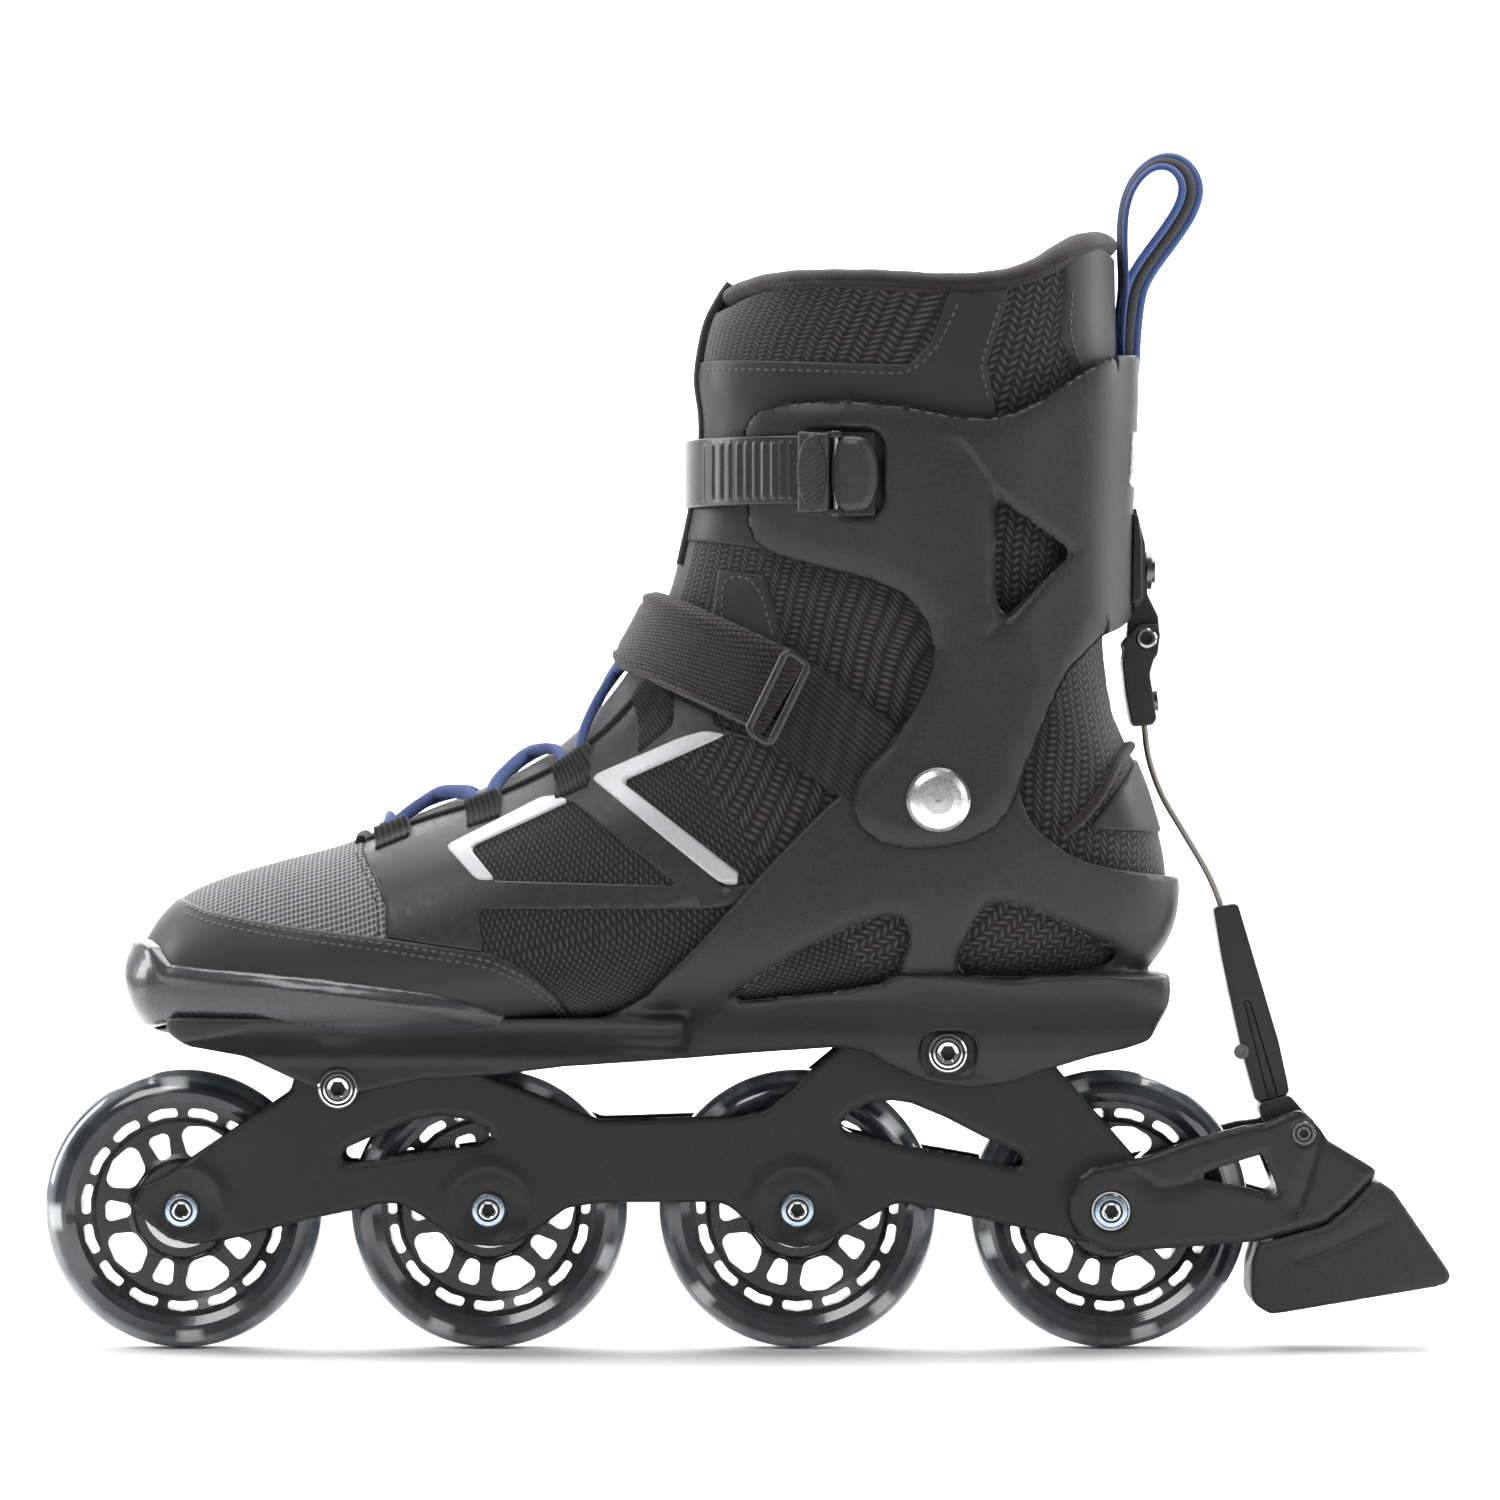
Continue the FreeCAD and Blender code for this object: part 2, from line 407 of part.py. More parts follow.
# ---------------------------------------------------------------- wheels
def wheel(k, x):
    tag = "wheel_%d_" % k
    spot = Placement(Vector(x, 0, D["axle_height"]), Rotation())
    R, rim, hw = D["wheel_dia"] / 2, D["hub_rim_radius"], D["wheel_width"] / 2
    # tyre: flat-topped crown, rounded shoulders
    body = new_body(tag + "tyre")
    loop = [
        Part.LineSegment(Vector(rim, -10.5, 0), Vector(33.5, -hw, 0)),
        Part.Arc(Vector(33.5, -hw, 0), Vector(38.3, -8.8, 0), Vector(R, -2.4, 0)),
        Part.LineSegment(Vector(R, -2.4, 0), Vector(R, 2.4, 0)),
        Part.Arc(Vector(R, 2.4, 0), Vector(38.3, 8.8, 0), Vector(33.5, hw, 0)),
        Part.LineSegment(Vector(33.5, hw, 0), Vector(rim, 10.5, 0)),
        Part.LineSegment(Vector(rim, 10.5, 0), Vector(rim, -10.5, 0)),
    ]
    revolve(body, new_sketch(body, tag + "tyre_sketch", "XY_Plane", [loop]))
    body.setExpression("Placement.Base.z", "dims.axle_height")
    body.Placement = spot
    keep(tag + "tyre", body)
    # hub: rim, web and boss with two bearing seats, then three rings of openings
    body = new_body(tag + "hub")
    seat = D["bearing_outer_dia"] / 2
    inner = D["spacer_length"] / 2
    boss = D["hub_boss_radius"]
    web = D["web_half"]
    prof = [(7.5, -inner), (seat, -inner), (seat, -12.1), (boss - 0.6, -12.1), (boss, -11.4), (boss + 0.6, -web - 0.8), (boss + 2.0, -web),
            (25.0, -web), (26.2, -web - 0.8), (29.2, -10.1), (rim, -10.5)]
    prof = prof + [(a, -b) for a, b in reversed(prof)]
    revolve(body, new_sketch(body, tag + "hub_sketch", "XY_Plane", [polyline(prof)]))
    doc.recompute()

    def window(name, pts, r, count, phase):
        c, s = math.cos(math.radians(phase)), math.sin(math.radians(phase))
        turned = [(a * c - b * s, a * s + b * c) for a, b in pts]
        sk = new_sketch(body, tag + name + "_sketch", "XZ_Plane", [rounded(turned, r)])
        po = body.newObject("PartDesign::Pocket", tag + name)
        po.Profile = sk
        po.Type = "ThroughAll"
        po.Midplane = True
        sk.Visibility = False
        doc.recompute()
        pat = body.newObject("PartDesign::PolarPattern", tag + name + "_ring")
        pat.Originals = [po]
        pat.Axis = (sk, ["N_Axis"])
        pat.Angle = 360
        pat.setExpression("Occurrences", "dims." + count)
        body.Tip = pat
        doc.recompute()

    def polar(r, a):
        return (r * math.cos(math.radians(a)), r * math.sin(math.radians(a)))

    window("big_windows", [polar(15.4, -12), polar(23.9, -19.5), polar(24.6, 0), polar(23.9, 19.5), polar(15.4, 12)], 3.0,
           "big_window_count", 1.5)
    window("small_windows", [polar(15.2, -6.5), polar(22.6, -8.6), polar(22.6, 8.6), polar(15.2, 6.5)], 1.7, "small_window_count", 37.5)
    window("slots", [polar(26.5, -9.2), polar(29.0, -8.6), polar(29.4, 0), polar(29.0, 8.6), polar(26.5, 9.2), polar(26.7, 0)], 1.1,
           "slot_count", 270.0)
    body.Placement = spot
    keep(tag + "hub", body)
    # bearings: outer ring with its two shields, one each side
    bw, pr = D["bearing_width"], D["ball_pitch_radius"]
    a, b = inner, inner + bw
    m = (a + b) / 2

    def turned(points):
        w = Part.makePolygon([Vector(p[0], p[1], 0) for p in points] + [Vector(points[0][0], points[0][1], 0)])
        f = Part.Face(w)
        return f.revolve(Vector(0, 0, 0), Vector(0, 1, 0), 360)

    outer = [(seat, a + 0.03), (seat, b - 0.03), (9.3, b - 0.03), (9.3, b - 0.3), (6.5, b - 0.3), (6.5, b - 0.6), (9.3, b - 0.6), (9.3, m + 1.4),
             (9.56, m + 0.6), (9.6, m), (9.56, m - 0.6), (9.3, m - 1.4), (9.3, a + 0.6), (6.5, a + 0.6), (6.5, a + 0.3), (9.3, a + 0.3), (9.3, a + 0.03)]
    one = turned(outer)
    two = turned([(p[0], -p[1]) for p in outer])
    comp = Part.makeCompound([one, two])
    ob = feature(tag + "bearings", comp)
    ob.Placement = spot
    keep(tag + "bearings", ob)
    n = int(D["ball_count"])
    balls = []
    for side in (-1, 1):
        for j in range(n):
            t = 2 * math.pi * (j + 0.25) / n
            balls.append(Part.makeSphere(D["ball_radius"], Vector(pr * math.cos(t), side * m, pr * math.sin(t))))
    ob = feature(tag + "balls", Part.makeCompound(balls))
    ob.Placement = spot
    keep(tag + "balls", ob)


for k, x in enumerate(AXLES, 1):
    wheel(k, x)

# fixed parts of the wheel sets
zc = D["axle_height"]
half_spacer = D["spacer_length"] / 2
rings, spacers, sleeves, screws = [], [], [], []
bore = D["bearing_bore_dia"] / 2
for k, x in enumerate(AXLES):
    rear = k == 3
    a, b = half_spacer, half_spacer + D["bearing_width"]
    m = (a + b) / 2
    prof = [(bore, a), (bore, b), (5.8, b), (5.8, m + 1.3), (5.5, m + 0.9), (5.44, m), (5.5, m - 0.9), (5.8, m - 1.3), (5.8, a)]
    for s in (-1, 1):
        f = Part.Face(Part.makePolygon([Vector(p[0], s * p[1], 0) for p in prof] + [Vector(prof[0][0], s * prof[0][1], 0)]))
        solid = f.revolve(Vector(0, 0, 0), Vector(0, 1, 0), 360)
        solid.translate(Vector(x, 0, zc))
        rings.append(solid)
    sp = ycyl(6.0, x, zc, -a + 0.02, a - 0.02).cut(ycyl(bore + 0.02, x, zc, -a, a))
    spacers.append(sp)
    seat_y = D["arm_outer"] + 0.12 if rear else D["plate_inner"] + D["plate_thickness"] - D["dish_depth"]
    hh = D["axle_head_height"]
    head_r = D["axle_head_radius"]
    # far-side sleeve: shank through both plates' holes and the bearings, flat head with a hexagon socket
    sl = ycyl(D["sleeve_radius"], x, zc, -seat_y + 1.0, seat_y)
    sl = sl.fuse(ycyl(head_r, x, zc, seat_y, seat_y + hh))
    sl = sl.cut(ycyl(D["axle_screw_radius"] + 0.02, x, zc, -seat_y, seat_y - 3.0))
    hexagon = Part.makePolygon([Vector(x + 2.3 * math.cos(math.pi / 3 * j), seat_y + hh, zc + 2.3 * math.sin(math.pi / 3 * j)) for j in range(7)])
    sl = sl.cut(Part.Face(hexagon).extrude(Vector(0, -1.9, 0)))
    edges = [e for e in sl.Edges if e.BoundBox.YMin > seat_y + hh - 0.01 and abs(e.BoundBox.XLength - 2 * head_r) < 0.1]
    sl = sl.makeFillet(0.5, edges)
    sleeves.append(sl)
    sc = ycyl(D["axle_screw_radius"], x, zc, -seat_y, seat_y - 3.4)
    sc = sc.fuse(ycyl(head_r, x, zc, -seat_y - hh, -seat_y))
    hexagon = Part.makePolygon([Vector(x + 2.3 * math.cos(math.pi / 3 * j), -seat_y - hh, zc + 2.3 * math.sin(math.pi / 3 * j)) for j in range(7)])
    sc = sc.cut(Part.Face(hexagon).extrude(Vector(0, 1.9, 0)))
    edges = [e for e in sc.Edges if e.BoundBox.YMax < -seat_y - hh + 0.01 and abs(e.BoundBox.XLength - 2 * head_r) < 0.1]
    sc = sc.makeFillet(0.5, edges)
    screws.append(sc)
keep("bearing_inner_rings", feature("bearing_inner_rings", Part.makeCompound(rings)))
keep("bearing_spacers", feature("bearing_spacers", Part.makeCompound(spacers)))
keep("axle_sleeves", feature("axle_sleeves", Part.makeCompound(sleeves)))
keep("axle_screws", feature("axle_screws", Part.makeCompound(screws)))

# ---------------------------------------------------------------- frame
p_in, p_th = D["plate_inner"], D["plate_thickness"]
p_out = p_in + p_th
holes = [(x, zc, D["axle_hole_radius"]) for x in AXLES] + [(x, z, D["mount_hole_radius"]) for x, z in BOLTS]


def frame_plate(label, side):
    y0 = -p_in if side < 0 else p_out
    body = plate_body(label + "_blank", FRAME_OUTLINE, 4.0, y0, "dims.plate_thickness",
                      [(FRAME_WINDOW_FRONT, 2.0), (FRAME_WINDOW_REAR, 2.0)], holes)
    adds, cuts = [], []
    for i, x in enumerate(AXLES):
        b = prim("Cylinder", "%s_boss_%d" % (label, i + 1), (x, -p_in if side < 0 else 12.24, zc), {"Radius": "dims.plate_boss_radius"}, ACROSS)
        b.Height = p_in - 12.24
        adds.append(b)
        c = prim("Cylinder", "%s_bore_%d" % (label, i + 1), (x, -30 if side < 0 else 0, zc), {"Radius": "dims.axle_hole_radius"}, ACROSS)
        c.Height = 30
        cuts.append(c)
        if i < 3:
            # pressed dish round the screw head: a cone that narrows inwards
            dish = prim("Cone", "%s_dish_%d" % (label, i + 1), (x, side * (p_out + 0.001), zc), {"Radius1": "dims.dish_radius"},
                        ACROSS if side < 0 else Rotation(Vector(1, 0, 0), 90))
            dish.Radius2 = 6.6
            dish.setExpression("Height", "dims.dish_depth + 0.001")
            cuts.append(dish)
    f = boolean("MultiFuse", label + "_bossed", body, adds)
    tools = boolean("MultiFuse", label + "_cutters", cuts[0], cuts[1:])
    return keep(label, boolean("Cut", label, f, tools))


frame_plate("frame_plate_left", -1)
frame_plate("frame_plate_right", 1)


def bridge(label, pts, bolt):
    body = new_body(label)
    sk = new_sketch(body, label + "_sketch", "XZ_Plane", [rounded(pts, 2.0), circle(bolt[0], bolt[1], D["mount_hole_radius"])])
    pad(body, sk, "2 * dims.bridge_half_width", midplane=True)
    doc.recompute()
    return keep(label, body)


bridge("frame_bridge_front", [(-98, 72), (-92, 64), (-84, 64), (-78, 72), (-76, 84.2), (-100, 84.2)], BOLTS[0])
bridge("frame_bridge_rear", [(76, 84), (80, 76.5), (93, 76.5), (97, 84), (100, 92.2), (73, 92.2)], BOLTS[1])

lug_o = D["lug_outer"]
mh = D["mount_head_height"]
mscrews, msleeves = [], []
for x, z in BOLTS:
    s = ycyl(D["mount_screw_radius"], x, z, -lug_o, 14.0).fuse(ycyl(D["mount_head_radius"], x, z, -lug_o - mh, -lug_o - 0.02))
    s = s.fuse(ycyl(D["mount_screw_radius"], x, z, -lug_o - 0.5, -lug_o + 1))
    s = s.cut(ycyl(4.6, x, z, -lug_o - mh - 1, -lug_o - mh + 0.7))
    s = s.fuse(ycyl(3.9, x, z, -lug_o - mh + 0.1, -lug_o - mh + 0.8))
    hexagon = Part.makePolygon([Vector(x + 2.4 * math.cos(math.pi / 3 * j), -lug_o - mh - 1, z + 2.4 * math.sin(math.pi / 3 * j)) for j in range(7)])
    s = s.cut(Part.Face(hexagon).extrude(Vector(0, 2.6, 0)))
    mscrews.append(s)
    n = ycyl(D["mount_sleeve_radius"], x, z, -lug_o + 1.5, lug_o).fuse(ycyl(D["mount_head_radius"], x, z, lug_o + 0.02, lug_o + mh))
    n = n.fuse(ycyl(D["mount_sleeve_radius"], x, z, lug_o - 1, lug_o + 0.5))
    n = n.cut(ycyl(D["mount_screw_radius"] + 0.02, x, z, -lug_o, 15.0))
    hexagon = Part.makePolygon([Vector(x + 2.4 * math.cos(math.pi / 3 * j), lug_o + mh, z + 2.4 * math.sin(math.pi / 3 * j)) for j in range(7)])
    n = n.cut(Part.Face(hexagon).extrude(Vector(0, -1.8, 0)))
    msleeves.append(n)
keep("mount_bolts", feature("mount_bolts", Part.makeCompound(mscrews + msleeves)))

# ---------------------------------------------------------------- the last and the shell
last = last_solid(0.0)
gap, thick = D["shell_gap"], D["shell_thickness"]
last_near = last_solid(gap)                       # inside of the shell
last_shell = last_solid(gap + thick)              # outside of the shell
px, pz = D["cuff_pivot_x"], D["cuff_pivot_z"]

cup = last_shell.common(outline_prism(SHELL_EDGE, 6.0, -80, 80))


def keel_piece(section, x0, x1):
    pts = [Vector(x0, y, z) for z, y in section] + [Vector(x0, -y, z) for z, y in reversed(section)]
    face = Part.Face(Part.makePolygon(pts + [pts[0]]))
    return face.extrude(Vector(x1 - x0, 0, 0))


front_keel = keel_piece([(70, 20), (82, 20), (84.5, 21), (86.5, 25), (88.5, 33), (90.5, 39), (92.5, 42), (96, 43)], -140, 12)
rear_keel = keel_piece([(70, 20.9), (80, 21.4), (86, 22.6), (91, 25.5), (96, 31), (101, 36), (108, 40)], 10, 156)
keel_side = outline_prism(KEEL_OUTLINE, 4.0, -60, 60)
# plan of the sole: the widest outline of the last, slightly inside the cup
plan_pts = []
for i in range(0, 16):
    st = station(i, gap + thick - 0.8)
    fx, fz, bx, bz, w, p, ef, eb, yc = st
    plan_pts.append((fx + (bx - fx) * p, yc, w))
plan = [(x, yc - w) for x, yc, w in plan_pts] + [(153.0, -26.0), (154.6, 0.0), (153.0, 26.0)] + [(x, yc + w) for x, yc, w in reversed(plan_pts)]
plan_curve = Part.BSplineCurve()
plan_curve.interpolate(Points=[Vector(x, y, 60) for x, y in plan], PeriodicFlag=True)
plan_prism = Part.Face(Part.Wire([plan_curve.toShape()])).extrude(Vector(0, 0, 70))
keel = front_keel.fuse(rear_keel).common(keel_side).common(plan_prism)
shell = cup.fuse(keel)
shell = shell.cut(last_near)
channel = outline_prism([(-106, 40), (-106, 84.6), (48, 84.6), (54, 92.6), (160, 92.6), (160, 40)], 0.01, -D["lug_inner"], D["lug_inner"])
shell = shell.cut(channel)
shell = shell.cut(outline_prism(SHELL_WINDOW_1, 4.0, -80, 80)).cut(outline_prism(SHELL_WINDOW_2, 4.0, -80, 80))
# flat bearing faces for the cuff, and the rivet holes
face_half = D["bearing_face_half"]
for s in (-1, 1):
    y0, y1 = (-80, -(face_half - 0.4)) if s < 0 else (face_half - 0.4, 80)
    shell = shell.cut(ycyl(34.0, px, pz, y0, y1))
shell = shell.cut(ycyl(D["rivet_shank_radius"] + 0.05, px, pz, -80, 80))
for x, z in BOLTS:
    shell = shell.cut(ycyl(D["mount_hole_radius"], x, z, -40, 40))
# oval recess round the rear screw and a round seat round the front one
for s in (-1, 1):
    y0, y1 = (-60, -lug_o) if s < 0 else (lug_o, 60)
    rec = outline_prism([(BOLTS[1][0] - 8.4, BOLTS[1][1] - 6.6), (BOLTS[1][0] + 8.4, BOLTS[1][1] - 6.6), (BOLTS[1][0] + 8.4, BOLTS[1][1] + 6.6),
                         (BOLTS[1][0] - 8.4, BOLTS[1][1] + 6.6)], 5.8, y0, y1)
    shell = shell.cut(rec)
    shell = shell.cut(ycyl(6.3, BOLTS[0][0], BOLTS[0][1], y0, y1))
solids = sorted(shell.Solids, key=lambda q: -q.Volume)
print("shell solids", [round(q.Volume) for q in solids])
shell = solids[0]
keep("shell", feature("shell", shell))

# rubber toe bumper round the front of the sole
bumper = last_solid(0.3 + 2.6, 0, 12).cut(last_solid(0.3, 0, 12)).common(outline_prism(BUMPER_OUTLINE, 3.0, -70, 70))
lobe = last_solid(0.3 + 2.6, 0, 12).cut(last_solid(0.3, 0, 12)).common(
    outline_prism([(-152, 117.5), (-143.5, 117.8), (-139, 109), (-136.5, 98), (-150, 98)], 1.5, -40, 45))
bumper = bumper.fuse(lobe).cut(shell)
bumper = sorted(bumper.Solids, key=lambda q: -q.Volume)[0]
keep("toe_bumper", feature("toe_bumper", bumper))

# ---------------------------------------------------------------- cuff
cg, ct = D["cuff_gap"], D["cuff_thickness"]
cuff = last_solid(cg + ct, 10).cut(last_solid(cg, 10))
cuff = cuff.common(outline_prism(CUFF_OUTLINE, 5.0, -80, 80))
cuff = cuff.cut(outline_prism(CUFF_WINDOW, 2.5, -80, 80))
cuff = cuff.cut(ycyl(34.0, px, pz, -face_half, face_half))
cuff = cuff.cut(ycyl(D["rivet_shank_radius"] + 0.05, px, pz, -80, 80))
# recess for the buckle on the outer side
BX0, BX1, BZ0, BZ1 = 43.5, 68.0, 237.4, 263.2
recess_floor = D["buckle_floor"]
cuff = cuff.cut(outline_prism([(BX0 - 14, BZ0), (BX1, BZ0), (BX1, BZ1), (BX0 - 14, BZ1)], 6.0, -80, -recess_floor))
cuff = cuff.cut(ycyl(2.05, 59.0, 251.3, 30, 80))                                   # ladder strap screw
cuff = cuff.cut(Part.makeCylinder(2.25, 30, Vector(120, 0, 224.0), Vector(1, 0, 0)))  # bracket screw
solids = sorted(cuff.Solids, key=lambda q: -q.Volume)
print("cuff solids", [round(q.Volume) for q in solids])
cuff = solids[0]
keep("cuff", feature("cuff", cuff))

# rivets: washer head outside, shank through cuff and shell, flat foot inside the shell
rivets = []
for s in (-1, 1):
    prof = [(0, 39.75), (D["rivet_shank_radius"], 39.75), (D["rivet_shank_radius"], 47.3), (D["rivet_head_radius"], 47.3), (D["rivet_head_radius"], 47.9),
            (8.2, 49.0), (6.6, 49.8), (4.2, 50.3), (0, 50.5)]
    f = Part.Face(Part.makePolygon([Vector(a, s * b, 0) for a, b in prof] + [Vector(prof[0][0], s * prof[0][1], 0)]))
    r = f.revolve(Vector(0, 0, 0), Vector(0, 1, 0), 360)
    r.translate(Vector(px, 0, pz))
    rivets.append(r)
keep("cuff_rivets", feature("cuff_rivets", Part.makeCompound(rivets)))

# badge plate at the back of the cuff
badge = last_solid(cg + ct + 1.2, 14).cut(last_solid(cg + ct + 0.02, 14)).common(
    Part.makeBox(20, 26, 17.6, Vector(128, -13, 247.8)))
badge = sorted(badge.Solids, key=lambda q: -q.Volume)[0]
keep("cuff_badge", feature("cuff_badge", badge))

# ---------------------------------------------------------------- buckle and ladder strap
def box(name, x0, x1, y0, y1, z0, z1):
    b = doc.addObject("Part::Box", name)
    b.Length, b.Width, b.Height = x1 - x0, y1 - y0, z1 - z0
    b.Placement = Placement(Vector(x0, y0, z0), Rotation())
    return b


def plan_body(label, points, r, z0, height):
    """PartDesign solid drawn in plan and padded upwards from z0."""
    body = new_body(label)
    sk = new_sketch(body, label + "_sketch", "XY_Plane", [rounded(points, r)], offset=z0)
    pad(body, sk, height)
    doc.recompute()
    return body


yb = -recess_floor
# base: floor plate with two hinge cheeks
base = plan_body("buckle_floor", [(45.5, yb + 0.0), (65.5, yb + 0.0), (65.5, yb - 1.2), (56.0, yb - 1.2), (56.0, yb - 5.6), (52.2, yb - 5.6), (50.4, yb - 1.2), (45.5, yb - 1.2)],
                 0.4, 238.4, "dims.buckle_height - 1.2")
mid = box("buckle_base_gap", 46.6, 60.0, yb - 7, yb - 1.2, 240.2, 260.4)
pinhole = prim("Cylinder", "buckle_pin_hole", (54.1, yb - 3.6, 230), {}, None)
pinhole.Radius, pinhole.Height = 1.03, 40
cutter = boolean("MultiFuse", "buckle_base_cutters", mid, [pinhole])
keep("buckle_base", boolean("Cut", "buckle_base", base, cutter))
pin = prim("Cylinder", "buckle_pin", (54.1, yb - 3.6, 238.3), {}, None)
pin.Radius, pin.Height = 1.0, 24.0
keep("buckle_pin", pin)
# lever: thick knuckle at the pin, thin curved tail that lies in the recess
lever = plan_body("buckle_lever_blank", [(53.0, yb - 2.2), (56.3, yb - 1.7), (60.0, yb - 1.6), (66.4, yb - 1.5), (66.8, yb - 3.2), (62.0, yb - 4.6), (57.5, yb - 6.0),
                                         (54.6, yb - 6.5), (52.9, yb - 5.7)], 0.8, 242.7, 15.2)
hole = prim("Cylinder", "buckle_lever_hole", (54.1, yb - 3.6, 230), {}, None)
hole.Radius, hole.Height = 1.04, 40
keep("buckle_lever", boolean("Cut", "buckle_lever", lever, hole))
# release tab in front of the pin: crowned ribbed face, and two ears that reach back to the pin
tab = plan_body("buckle_release_blank", [(43.6, yb - 6.0), (44.4, yb - 7.8), (47.2, yb - 8.5), (49.6, yb - 8.2), (50.8, yb - 7.0), (50.8, yb - 5.4), (49.6, yb - 4.6), (46.0, yb - 4.9)],
                0.6, 239.6, 21.8)
ear_pts = [(49.4, yb - 4.9), (49.4, yb - 6.6), (53.6, yb - 5.9), (55.6, yb - 4.6), (55.6, yb - 2.7), (54.2, yb - 2.0), (52.6, yb - 2.4), (51.6, yb - 4.4)]
ear_low = plan_body("buckle_release_ear_low", ear_pts, 0.5, 240.5, 1.9)
ear_high = plan_body("buckle_release_ear_high", ear_pts, 0.5, 258.2, 1.9)
tab = boolean("MultiFuse", "buckle_release_body", tab, [ear_low, ear_high])
grooves = []
for j in range(9):
    g = prim("Box", "release_groove_%d" % j, (43.0, yb - 9.4, 241.6 + 2.2 * j), {}, None)
    g.Length, g.Width, g.Height = 10, 1.15, 0.9
    grooves.append(g)
hole = prim("Cylinder", "buckle_release_hole", (54.1, yb - 3.6, 230), {}, None)
hole.Radius, hole.Height = 1.04, 40
gcut = boolean("MultiFuse", "release_grooves", grooves[0], grooves[1:] + [hole])
keep("buckle_release", boolean("Cut", "buckle_release", tab, gcut))

# ladder strap: wraps round the front of the shaft from the buckle to the screw on the far side of the cuff
STRAP_MID = [(51.2, -50.8), (44.4, -50.6), (36.0, -47.0), (28.0, -41.0), (21.0, -32.6), (16.0, -22.6), (13.0, -11.4), (12.0, 0.0),
             (13.0, 11.4), (16.0, 22.6), (21.0, 32.6), (28.0, 41.2), (36.0, 47.2), (44.4, 50.6), (54.0, 52.2), (64.0, 52.9)]


def offset_line(points, d):
    out = []
    for i in range(len(points)):
        nx, ny = normal(points, i)
        out.append((points[i][0] + nx * d, points[i][1] + ny * d))
    return out


def band(points, half, z0, height, label):
    outer = offset_line(points, half)
    inner = offset_line(points, -half)
    body = new_body(label)
    loops = []
    c1, c2 = Part.BSplineCurve(), Part.BSplineCurve()
    c1.interpolate([Vector(a, b, 0) for a, b in outer])
    c2.interpolate([Vector(a, b, 0) for a, b in reversed(inner)])
    loops = [c1, Part.LineSegment(c1.EndPoint, c2.StartPoint), c2, Part.LineSegment(c2.EndPoint, c1.StartPoint)]
    sk = new_sketch(body, label + "_sketch", "XY_Plane", [loops], offset=z0)
    pad(body, sk, height)
    doc.recompute()
    return body


strap = band(STRAP_MID, 0.8, 241.6, "dims.strap_height", "ladder_strap_blank")
teeth = []
for j in range(11):
    t0 = 42.0 - 2.4 * j
    # ridges across the strap's outer face, spaced along the near side
    ys = None
    for (a, b), (c, e) in zip(STRAP_MID, STRAP_MID[1:]):
        if c <= t0 <= a:
            f = (a - t0) / (a - c)
            ys = b + (e - b) * f
            ang = math.degrees(math.atan2(e - b, c - a))
            break
    if ys is None:
        continue
    g = prim("Box", "strap_ridge_%d" % j, (t0, ys, 243.6), {}, Rotation(Vector(0, 0, 1), ang))
    g.Length, g.Width, g.Height = 0.9, 1.5, 15.5
    teeth.append(g)
ridged = boolean("MultiFuse", "ladder_strap_ridged", strap, teeth)
strap_hole = prim("Cylinder", "ladder_strap_hole", (59.0, 45.0, 251.3), {}, ACROSS)
strap_hole.Radius, strap_hole.Height = 2.05, 15.0
keep("ladder_strap", boolean("Cut", "ladder_strap", ridged, strap_hole))
screw = prim("Cylinder", "strap_screw_head", (59.0, 53.5, 251.3), {}, ACROSS)
screw.Radius, screw.Height = 4.5, 1.6
shank = prim("Cylinder", "strap_screw_shank", (59.0, 47.4, 251.3), {}, ACROSS)
shank.Radius, shank.Height = 2.0, 6.2
keep("strap_screw", boolean("MultiFuse", "strap_screw", screw, [shank]))

# ---------------------------------------------------------------- brake
lx, lz = D["link_low_x"], D["link_low_z"]
tx, tz = D["link_top_x"], D["link_top_z"]
ax4 = AXLES[3]


def mid_plate(label, points, r, half, circles=(), holes=()):
    body = new_body(label)
    sk = new_sketch(body, label + "_sketch", "XZ_Plane", [rounded(points, r)] + [rounded(h, hr) for h, hr in holes] + [circle(*c) for c in circles])
    pad(body, sk, 2 * half, midplane=True)
    doc.recompute()
    return body


# upper bracket: a tongue on the back of the cuff, with feet that follow the cuff's back
bracket = feature("brake_bracket_blank", outline_prism(BRACKET_OUTLINE, 1.6, -5.0, 5.0).cut(ycyl(3.35, tx, tz, -8, 8)))
wing = mid_plate("brake_bracket_wing", [(139.0, 240), (141.5, 240), (142.6, 232), (142.8, 216), (140.0, 213.6), (139.0, 216)], 1.0, 11.0)
bracket_blank = boolean("MultiFuse", "brake_bracket_solid", bracket, [wing])
cuff_form = feature("cuff_outer_form", last_solid(cg + ct + 0.03, 14).common(Part.makeBox(80, 120, 130, Vector(100, -60, 211.6))))
screw_way = prim("Cylinder", "bracket_screw_way", (130.0, 0, 224.0), {}, Rotation(Vector(0, 1, 0), 90))
screw_way.Radius, screw_way.Height = 2.25, 30.0
btool = boolean("MultiFuse", "brake_bracket_cutters", cuff_form, [screw_way])
keep("brake_bracket", boolean("Cut", "brake_bracket", bracket_blank, btool))
head = prim("Cylinder", "bracket_screw_head", (144.3, 0, 224.0), {}, Rotation(Vector(0, 1, 0), 90))
head.Radius, head.Height = 5.6, 1.5
dome = prim("Cylinder", "bracket_screw_dome", (145.9, 0, 224.0), {}, Rotation(Vector(0, 1, 0), 90))
dome.Radius, dome.Height = 3.8, 0.9
shk = prim("Cylinder", "bracket_screw_shank", (137.2, 0, 224.0), {}, Rotation(Vector(0, 1, 0), 90))
shk.Radius, shk.Height = 2.2, 8.0
